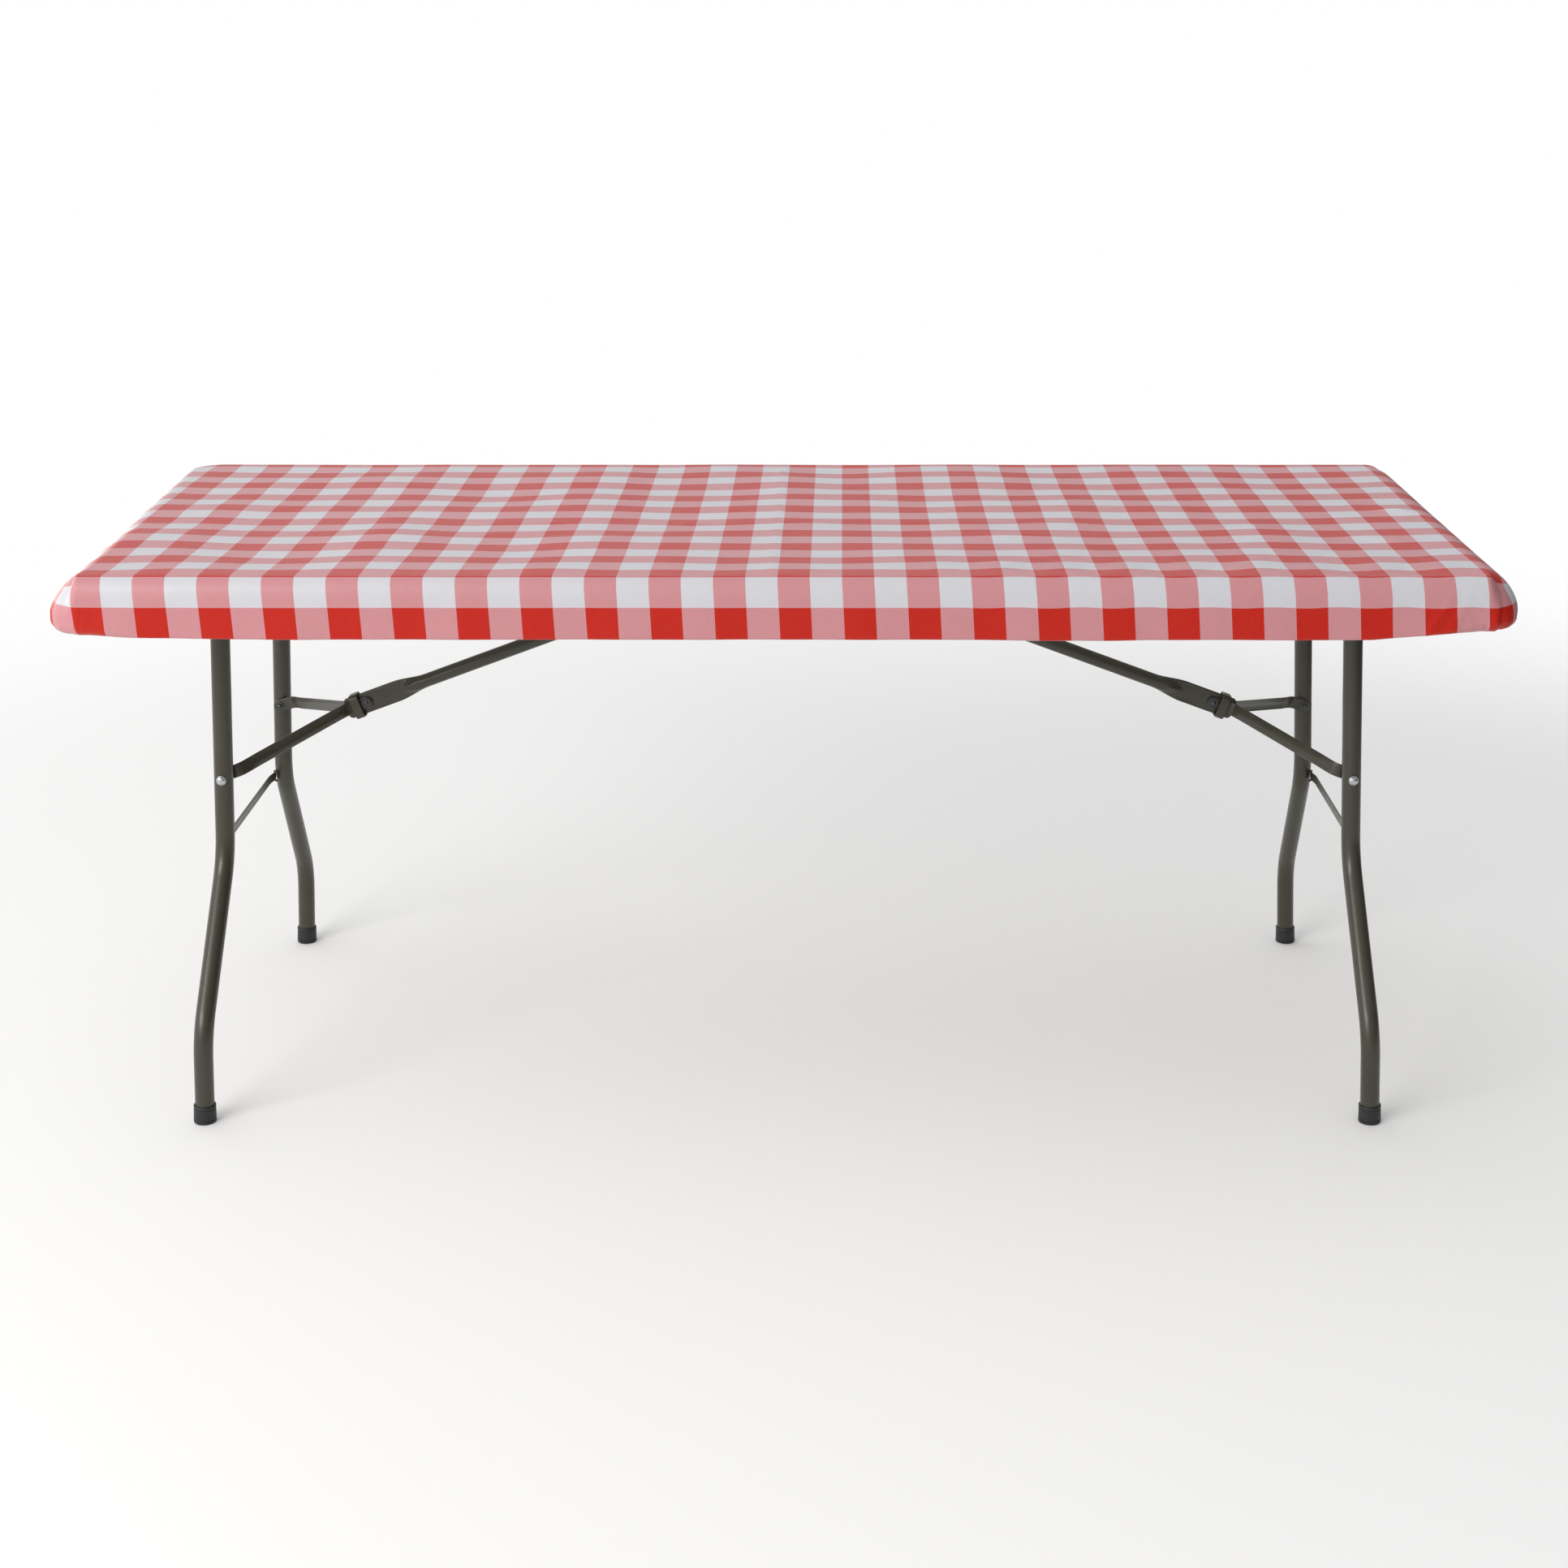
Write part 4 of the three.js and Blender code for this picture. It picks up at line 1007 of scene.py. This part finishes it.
class TABLE_OT_legs(bpy.types.Operator):
    """Both leg frames: bent tubes, axle, flat crossbar and weld beads"""

    bl_idname = "table.legs"
    bl_label = "Leg frames"

    def execute(self, context):
        steel = context.scene.steel_settings
        coat = finish_named("powder_coat", powder_coat, steel)
        for end in ENDS:
            leg = LegFrame(end)
            axle_low, axle_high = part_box(f"{end}_leg_axle")
            axle_radius = (axle_high.z - axle_low.z) / 2
            for row, way in ROWS.items():
                self.tube(end, row, way, leg, axle_radius, steel, coat)
            self.axle(end, axle_radius, axle_high.y, coat)
            self.crossbar(end, leg, steel, coat)
        return {"FINISHED"}

    def tube(self, end, row, way, leg, axle_radius, steel, coat):
        """A tube with two bends whose top is cut to saddle the axle, and the weld bead round that joint."""
        node = f"{end}_leg_tube_{row}"
        low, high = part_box(node)
        radius = steel.tube / 2
        top_y = (high.y if way < 0 else low.y) + way * radius
        foot_y = way * leg.foot_reach
        path = bent(
            [
                (0, top_y, 0), (0, top_y, steel.upper_bend), (0, foot_y, steel.lower_bend),
                (0, foot_y, leg.length - 0.006),
            ],
            steel.bend_radius, 0.008,
        )
        grid = sweep(path, circle(radius), np.array([1.0, 0, 0]))
        across = grid[0, :, 0]
        grid[0, :, 2] = np.sqrt(np.clip(axle_radius ** 2 - across ** 2, 0, None)) * 0.98
        skins = [skin(leg.place(capped(grid)))]
        centre = leg.place([0, top_y, axle_radius * 0.80])
        ring = radius + 0.0004
        weld = bead(centre, leg.out * ring, np.array([0, ring, 0]), 0.0019)
        skins.append(skin(weld, looped=True))
        make_piece(f"{end}_{row}_leg", skins, [coat], f"{end}_leg", [node])

    def axle(self, end, radius, reach, coat):
        """An open tube across the frame with rounded rims."""
        wall = 0.0015
        rim = [[0, 0.014], [radius - wall, 0.014], [radius - wall, 0.0005], [radius - wall + 0.0005, 0]]
        rim = rim + [[radius - 0.0005, 0], [radius, 0.0005]]
        profile = [[r, -reach + h] for r, h in rim] + [[r, reach - h] for r, h in reversed(rim)]
        pivot = JOINTS[f"{end}_leg_fold"]["pos_m"]
        make_piece(
            f"{end}_axle", [skin(turned(profile, pivot, (0, 1, 0)))], [coat],
            f"{end}_leg", [f"{end}_leg_axle"],
        )

    def crossbar(self, end, leg, steel, coat):
        """A flat bar with a rib pressed along its middle, whose ends are let into the welds on the tubes."""
        node = f"{end}_leg_crossbar"
        tube_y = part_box(node)[1].y
        reach = tube_y - 0.003
        drop = float((middle(node) - leg.pivot) @ leg.down)
        distance = np.concatenate([
            [0, 0.0004, 0.0015], np.linspace(BAR_ROUNDING, 2 * reach - BAR_ROUNDING, 60),
            2 * reach - np.array([0.0015, 0.0004, 0]),
        ])
        from_end = np.minimum(distance, 2 * reach - distance)
        rounding = np.sqrt(np.clip(1 - (1 - np.clip(from_end / BAR_ROUNDING, 0, 1)) ** 2, 0.05, 1))
        section = superellipse(0.0016, 0.0062, 0.45, 28)
        pressed = smooth((from_end - 0.035) / 0.02)
        rib = 0.0016 * np.exp(-(section[:, 1] / 0.0026) ** 2)
        let_in = 1 - smooth((from_end - BAR_ROUNDING) / 0.022)
        out = (steel.tube / 2 + 0.0020 - 0.0030 * let_in)[:, None]
        thick = section[None, :, 0] * (1 - 0.25 * let_in)[:, None] + rib[None] * pressed[:, None]
        tall = section[None, :, 1] * rounding[:, None]
        along = np.broadcast_to(distance[:, None] - reach, thick.shape)
        bar = np.stack([out + thick, along, drop + tall], -1)
        skins = [skin(leg.place(capped(bar)))]
        weld_radius = steel.tube / 2 + 0.0006
        swell = 0.0015 * (1 + 0.15 * np.sin(np.arange(WELD_STEPS) * 1.9))
        swell = swell * np.sin(np.linspace(0.15, np.pi - 0.15, WELD_STEPS)) ** 0.3
        for way in ROWS.values():
            turn = -way * np.linspace(0.10, 1.05, WELD_STEPS)[:, None]
            for edge in (-1, 1):
                path = np.concatenate([
                    weld_radius * np.cos(turn), way * tube_y + weld_radius * np.sin(turn),
                    np.full_like(turn, drop + edge * 0.0066),
                ], -1)
                weld = sweep(path, circle(1, 10)[None] * swell[:, None, None], np.array([0, 0, 1.0]))
                skins.append(skin(leg.place(capped(weld))))
        make_piece(f"{end}_crossbar", skins, [coat], f"{end}_leg", [node])


class TABLE_OT_feet(bpy.types.Operator):
    """Rubber foot caps: a lip at the top, two grooves and a worn round sole that sits level on the floor"""

    bl_idname = "table.feet"
    bl_label = "Foot caps"

    def execute(self, context):
        steel = context.scene.steel_settings
        rubber = finish_named("matt_rubber", matt_rubber, steel)
        inner = steel.tube / 2 + 0.0001
        outer = inner + 0.0021
        for end in ENDS:
            leg = LegFrame(end)
            low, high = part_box(f"{end}_foot_cap_front")
            tall = high.z - low.z
            profile = np.array([
                [0, -0.004], [outer - 0.0035, -0.004], [outer - 0.0012, -0.0016], [outer, 0.0012],
                [outer + 0.0001, 0.0040], [outer - 0.0007, 0.0046], [outer - 0.0007, 0.0054], [outer, 0.0060],
                [outer - 0.0001, 0.0100], [outer - 0.0003, tall - 0.0062], [outer - 0.0009, tall - 0.0056],
                [outer - 0.0009, tall - 0.0048], [outer - 0.0002, tall - 0.0040],
                [outer - 0.0002, tall - 0.0014], [outer - 0.0008, tall - 0.0003], [inner + 0.0006, tall],
                [inner, tall - 0.0008], [inner, 0.0058], [0, 0.0058],
            ])
            for row, way in ROWS.items():
                sole = leg.place([0, way * leg.foot_reach, leg.length])
                grid = turned(profile, sole, -leg.down, 40)
                grid[..., 2] = np.maximum(grid[..., 2], FLOOR_GAP)
                make_piece(
                    f"{end}_{row}_foot", [skin(grid)], [rubber],
                    f"{end}_leg", [f"{end}_foot_cap_{row}"],
                )
        return {"FINISHED"}


class TABLE_OT_rivets(bpy.types.Operator):
    """The domed rivets that join the braces to the leg tubes, and the headed rivet at each knee"""

    bl_idname = "table.rivets"
    bl_label = "Rivets"

    def execute(self, context):
        zinc = finish_named("bright_zinc", bright_zinc, context.scene.steel_settings)
        dulled = finish_named("dulled_zinc", dulled_zinc, context.scene.steel_settings)
        for end in ENDS:
            for row, way in ROWS.items():
                self.domed(end, row, way, "leg_rivet", f"{end}_leg", zinc)
                self.domed(end, row, -way, "arm_rivet", f"{end}_brace_lower", dulled)
            self.knee(end, dulled)
        return {"FINISHED"}

    def domed(self, end, row, way, kind, body, zinc):
        """A shank, a thin washer face and a dome: radius * cos and height * sin of the same angle."""
        node = f"{end}_{kind}_{row}"
        low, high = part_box(node)
        radius = (high.z - low.z) / 2
        dome = 0.0040
        head_top = high.y if way > 0 else low.y
        angle = np.linspace(0, np.pi / 2, 9)
        crown_share = 0.62 if kind == "arm_rivet" else 0.86
        crown = [[radius * crown_share * math.cos(a), 0.0009 + (dome - 0.0009) * math.sin(a)] for a in angle]
        shank = 0.0030 if kind == "arm_rivet" else 0.0008
        profile = [
            [0, -shank], [0.0034, -shank], [0.0034, 0], [radius - 0.0003, 0], [radius, 0.0003],
            [radius, 0.0007], [radius - 0.0003, 0.0009], *crown,
        ]
        x, _, z = middle(node)
        origin = (x, head_top - way * dome, z)
        make_piece(
            f"{end}_{row}_{'pivot' if kind == 'leg_rivet' else 'inner'}_rivet",
            [skin(turned(profile, origin, (0, way, 0), 36))], [zinc], body, [node], crease=30,
        )

    def knee(self, end, zinc):
        """A flat head with a raised ring and a peened middle on each side, joined by the shank."""
        node = f"{end}_knee_rivet"
        low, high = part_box(node)
        x, _, z = middle(node)
        reach = high.y
        radius = (high.z - low.z) / 2
        half = [
            [0, 0], [0.0012, 0.0001], [0.0026, 0.0005], [0.0033, 0.0012], [0.0034, 0.0019], [0.0042, 0.0021],
            [0.0050, 0.0020], [0.0056, 0.0014], [radius - 0.0007, 0.0014], [radius, 0.0020], [radius, 0.0028],
            [radius - 0.0004, 0.0030], [0.0035, 0.0030],
        ]
        profile = [[r, -reach + h] for r, h in half] + [[r, reach - h] for r, h in reversed(half)]
        make_piece(
            f"{end}_knee_pin", [skin(turned(profile, (x, 0, z), (0, 1, 0), 40))], [zinc],
            f"{end}_brace_upper", [node], crease=30,
        )


# ---- Folding braces ----


class Line:
    """Places beside a straight line in the XZ plane, as (along, across, above)."""

    def __init__(self, start, end):
        self.start = np.asarray(start, float)
        run = np.asarray(end, float) - self.start
        run[1] = 0
        self.length = float(np.linalg.norm(run))
        self.along = run / self.length
        above = np.cross(self.along, [0, 1.0, 0])
        self.above = above if above[2] > 0 else -above

    def place(self, points):
        axes = np.stack([self.along, np.array([0, 1.0, 0]), self.above])
        return self.start + np.asarray(points, float) @ axes


class TABLE_OT_braces(bpy.types.Operator):
    """The folding braces: upper tube with its flattened end, two stamped arms, and the sliding lock ring"""

    bl_idname = "table.braces"
    bl_label = "Folding braces"

    def execute(self, context):
        steel = context.scene.steel_settings
        coat = finish_named("powder_coat", powder_coat, steel)
        for end in ENDS:
            pivot = JOINTS[f"{end}_brace_swing"]["pos_m"]
            knee = JOINTS[f"{end}_knee"]["pos_m"]
            rivet = middle(f"{end}_arm_rivet_front")
            self.upper(end, Line(pivot, knee), steel, coat)
            self.ring(end, Line(pivot, knee), steel, coat)
            for row, way in ROWS.items():
                self.arm(end, row, way, Line(knee, (rivet[0], 0, rivet[2])), steel, coat)
        return {"FINISHED"}

    def upper(self, end, line, steel, coat):
        """A tube pressed flat at the knee. The round part runs out in a point along the middle of the
        flat: the edges flatten first and the middle last."""
        radius = steel.brace_tube / 2
        flat_half, flat_tall, tail = 0.0025, 0.015, 0.033
        start_flat = line.length - 0.050 - 0.042
        rows = np.concatenate([
            [-0.012, -0.0114, -0.010], np.linspace(-0.005, start_flat - 0.01, 30),
            np.linspace(start_flat, line.length - 0.036, 40), line.length + np.array([-0.02, 0.0, 0.015]),
            line.length + tail - np.array([0.006, 0.003, 0.0012, 0.0004, 0]),
        ])
        share_flat = (rows - start_flat) / 0.056
        angle = np.linspace(0, 2 * np.pi, 48, endpoint=False)[None]
        c, s = np.cos(angle), np.sin(angle)
        begins = 0.46 * (1 - abs(s)) ** 0.8
        pressed = smooth((share_flat[:, None] - begins) / 0.40)
        taller = smooth(share_flat / 0.85)[:, None]
        end_round = np.clip((line.length + tail - rows) / 0.006, 0, 1)
        end_round = np.sqrt(np.clip(1 - (1 - end_round) ** 2, 0.15, 1))
        end_round = np.where(rows > line.length, end_round, 1)[:, None]
        mouth = np.where(rows < -0.0112, 0.92, 1)[:, None]
        thick = radius * c * (1 - pressed) + flat_half * np.sign(c) * abs(c) ** 0.35 * pressed
        dent = -0.0009 * np.exp(-((share_flat[:, None] - 0.98) / 0.22) ** 2) * np.sign(c) * (abs(s) < 0.75)
        tall = (radius + (flat_tall - radius) * taller) * np.sign(s) * abs(s) ** (1 - 0.25 * taller)
        grid = np.stack([
            np.broadcast_to(rows[:, None], thick.shape), (thick + dent * pressed) * mouth,
            tall * end_round * mouth,
        ], -1)
        make_piece(
            f"{end}_upper_brace_tube", [skin(line.place(capped(grid)))], [coat],
            f"{end}_brace_upper", [f"{end}_upper_brace"], crease=55,
        )

    def ring(self, end, line, steel, coat):
        """A rolled band round the brace: a rounded rectangle whose wall has a rounded section of its own."""
        node = f"{end}_lock_ring"
        where = float((middle(node) - line.start) @ line.along)
        wall, length = 0.0022, 0.0125
        half_width, half_height, bend = steel.brace_tube / 2 + 0.0005, 0.0155, 0.0045
        section = superellipse(length / 2, wall / 2, 0.4, 20)
        turn = np.linspace(0, 2 * np.pi, 64, endpoint=False) + np.pi / 64
        c, s = np.cos(turn), np.sin(turn)
        corner = np.stack([np.sign(c) * (half_width - bend), np.sign(s) * (half_height - bend)], -1)
        round_corner = np.stack([np.sign(c) * abs(c) ** 0.9, np.sign(s) * abs(s) ** 0.9], -1)
        reach = bend + wall / 2 + section[:, None, 1]
        plane = corner[None] + unit(round_corner)[None] * reach[..., None]
        along = np.broadcast_to(where + section[:, None, 0], plane.shape[:2])
        grid = np.concatenate([along[..., None], plane], -1)
        make_piece(
            f"{end}_sliding_ring", [skin(line.place(grid), looped=True)], [coat],
            f"{end}_ring", [node],
        )

    def arm(self, end, row, way, line, steel, coat):
        """A strip bent in plan, with a rib pressed along its middle run and round tabs at both ends."""
        node = f"{end}_brace_arm_{row}"
        low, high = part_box(node)
        sheet = steel.arm_sheet / 2
        knee_y = way * (min(abs(low.y), abs(high.y)) + 0.0015)
        leg_y = way * (max(abs(low.y), abs(high.y)) - 0.0015)
        tab = 0.009
        path = bent(
            [
                (-tab, knee_y, 0), (0.027, knee_y, 0), (line.length - 0.020, leg_y, 0),
                (line.length + tab, leg_y, 0),
            ],
            0.016, 0.005,
        )
        run = np.concatenate([[0], np.cumsum(np.linalg.norm(np.diff(path, axis=0), axis=1))])
        stations = np.concatenate([
            [0, 0.0002, 0.0008, 0.0018, 0.0034, 0.0055], np.linspace(0.009, run[-1] - 0.009, 90),
            run[-1] - np.array([0.0055, 0.0034, 0.0018, 0.0008, 0.0002, 0]),
        ])
        path = np.stack([np.interp(stations, run, path[:, axis]) for axis in range(3)], -1)
        from_end = np.minimum(stations, run[-1] - stations)
        half = np.sqrt(np.clip(tab ** 2 - (tab - np.minimum(from_end, tab)) ** 2, 1e-7, None))
        pressed = smooth((stations - 0.036) / 0.020) * smooth((run[-1] - 0.040 - stations) / 0.022)
        section = superellipse(sheet, 1, 0.42, 40)
        rib = steel.rib * np.exp(-(section[:, 1] / 0.42) ** 2)
        lip = -0.0012 * smooth((abs(section[:, 1]) - 0.72) / 0.28)
        thick = section[None, :, 0] + way * (rib + lip)[None] * pressed[:, None]
        tall = section[None, :, 1] * half[:, None]
        grid = sweep(path, np.stack([thick, tall], -1), np.array([0, 0, 1.0]))
        make_piece(
            f"{end}_{row}_brace_arm", [skin(line.place(capped(grid)))], [coat],
            f"{end}_brace_lower", [node], crease=50,
        )


# ---- Studio ----


def pale_floor(finish, studio):
    """A smooth pale floor with the faintest unevenness, which fades into the white room."""
    place = finish.object_place()
    cloud = finish.noise(place, 0.8, 2, 0.5)
    away = finish.node("ShaderNodeVectorMath", {"operation": "LENGTH"}, {0: place}, output=1)
    shade = finish.mix(cloud, tuple(c * 0.985 for c in studio.floor), studio.floor)
    fade = finish.node(
        "ShaderNodeMapRange", {"interpolation_type": "SMOOTHERSTEP"},
        {"Value": away, "From Min": 1.5, "From Max": 3.6, "To Min": 1.0, "To Max": 0.0},
    )
    return finish.surface(base_color=shade, roughness=0.9, specular_IOR_level=0.1, alpha=fade)


class TABLE_OT_stage(bpy.types.Operator):
    """The floor, the room light, the soft boxes and the camera"""

    bl_idname = "table.stage"
    bl_label = "Studio"

    def execute(self, context):
        studio = context.scene.studio_settings
        self.floor(studio)
        self.room(context.scene, studio)
        self.soft_box("front_box", (-3.2, -3.7, 2.6), (0, 0, 0.65), 3.2, 1.5, 126, (1.0, 0.98, 0.955))
        self.soft_box("left_box", (-3.4, 2.9, 0.8), (-0.7, 0, 0.4), 2.6, 1.2, 15, (1.0, 0.97, 0.92))
        self.soft_box("back_box", (0.8, 4.6, 2.9), (0, 0, 0.7), 6.5, 1.4, 16, (0.97, 0.985, 1.0))
        self.camera(context.scene, studio)
        return {"FINISHED"}

    def floor(self, studio):
        """A round floor, far wider than the view."""
        turn = np.linspace(0, 2 * np.pi, 96, endpoint=False)
        radius = np.array([0, 2, 6, 14, 40])[:, None]
        grid = np.stack([radius * np.cos(turn), radius * np.sin(turn), 0 * radius * turn], -1)
        mesh = bpy.data.meshes.new("studio_floor")
        mesh.from_pydata(grid.reshape(-1, 3).tolist(), [], quads(len(radius), len(turn)).tolist())
        mesh.materials.append(finish_named("pale_floor", pale_floor, studio))
        floor = bpy.data.objects.new("studio_floor", mesh)
        bpy.context.scene.collection.objects.link(floor)

    def room(self, scene, studio):
        """White to look at, and to light by brighter on the left than on the right."""
        scene.world = bpy.data.worlds.new("studio_room")
        scene.world.use_nodes = True
        tree = scene.world.node_tree
        background = tree.nodes["Background"]
        direction = tree.nodes.new("ShaderNodeTexCoord")
        slant = tree.nodes.new("ShaderNodeVectorMath")
        slant.operation = "DOT_PRODUCT"
        slant.inputs[1].default_value = (-studio.slant, 0, 0.27)
        level = tree.nodes.new("ShaderNodeMath")
        level.operation = "ADD"
        level.inputs[1].default_value = studio.room
        seen = tree.nodes.new("ShaderNodeLightPath")
        strength = tree.nodes.new("ShaderNodeMix")
        strength.inputs["B"].default_value = 1.0
        tree.links.new(direction.outputs["Generated"], slant.inputs[0])
        tree.links.new(slant.outputs["Value"], level.inputs[0])
        tree.links.new(seen.outputs["Is Camera Ray"], strength.inputs["Factor"])
        tree.links.new(level.outputs[0], strength.inputs["A"])
        tree.links.new(strength.outputs["Result"], background.inputs["Strength"])
        background.inputs["Color"].default_value = (1, 1, 1, 1)

    def soft_box(self, name, position, target, width, height, power, tint):
        light = bpy.data.lights.new(name, "AREA")
        light.shape = "RECTANGLE"
        light.size, light.size_y = width, height
        light.energy = power
        light.color = tint
        lamp = bpy.data.objects.new(name, light)
        lamp.location = position
        lamp.visible_camera = False
        lamp.rotation_euler = (Vector(target) - Vector(position)).to_track_quat("-Z", "Y").to_euler()
        bpy.context.scene.collection.objects.link(lamp)

    def camera(self, scene, studio):
        camera = bpy.data.cameras.new("studio_camera")
        camera.sensor_width = 36
        camera.lens = studio.lens
        camera.shift_x, camera.shift_y = -0.0370, -0.0445
        camera.clip_end = 200
        holder = bpy.data.objects.new("studio_camera", camera)
        holder.location = studio.eye
        holder.rotation_euler = (math.pi / 2 - studio.tilt, 0, 0)
        scene.collection.objects.link(holder)
        scene.camera = holder
        scene.view_settings.view_transform = "Standard"


# ---- Add-on ----

STEPS = (
    TABLE_OT_stage, TABLE_OT_top, TABLE_OT_cloth, TABLE_OT_underframe, TABLE_OT_screws, TABLE_OT_legs,
    TABLE_OT_feet, TABLE_OT_braces, TABLE_OT_rivets,
)
SETTINGS = {
    "cloth_settings": ClothSettings, "top_settings": TopSettings, "steel_settings": SteelSettings,
    "studio_settings": StudioSettings,
}


class TABLE_PT_panel(bpy.types.Panel):
    """Lists the steps and their sizes"""

    bl_idname = "TABLE_PT_panel"
    bl_label = "Tablecloth on a table"
    bl_space_type = "VIEW_3D"
    bl_region_type = "UI"
    bl_category = "Tablecloth"

    def draw(self, context):
        for step in STEPS:
            self.layout.operator(step.bl_idname)
        for name, group in SETTINGS.items():
            box = self.layout.box()
            for key in group.__annotations__:
                box.prop(getattr(context.scene, name), key)


def register():
    for kind in (*SETTINGS.values(), *STEPS, TABLE_PT_panel):
        bpy.utils.register_class(kind)
    for name, group in SETTINGS.items():
        setattr(bpy.types.Scene, name, PointerProperty(type=group))


def unregister():
    for name in SETTINGS:
        delattr(bpy.types.Scene, name)
    for kind in reversed((*SETTINGS.values(), *STEPS, TABLE_PT_panel)):
        bpy.utils.unregister_class(kind)


def main():
    """Builds everything."""
    register()
    for step in STEPS:
        group, name = step.bl_idname.split(".")
        getattr(getattr(bpy.ops, group), name)()


if __name__ == "__main__":
    main()
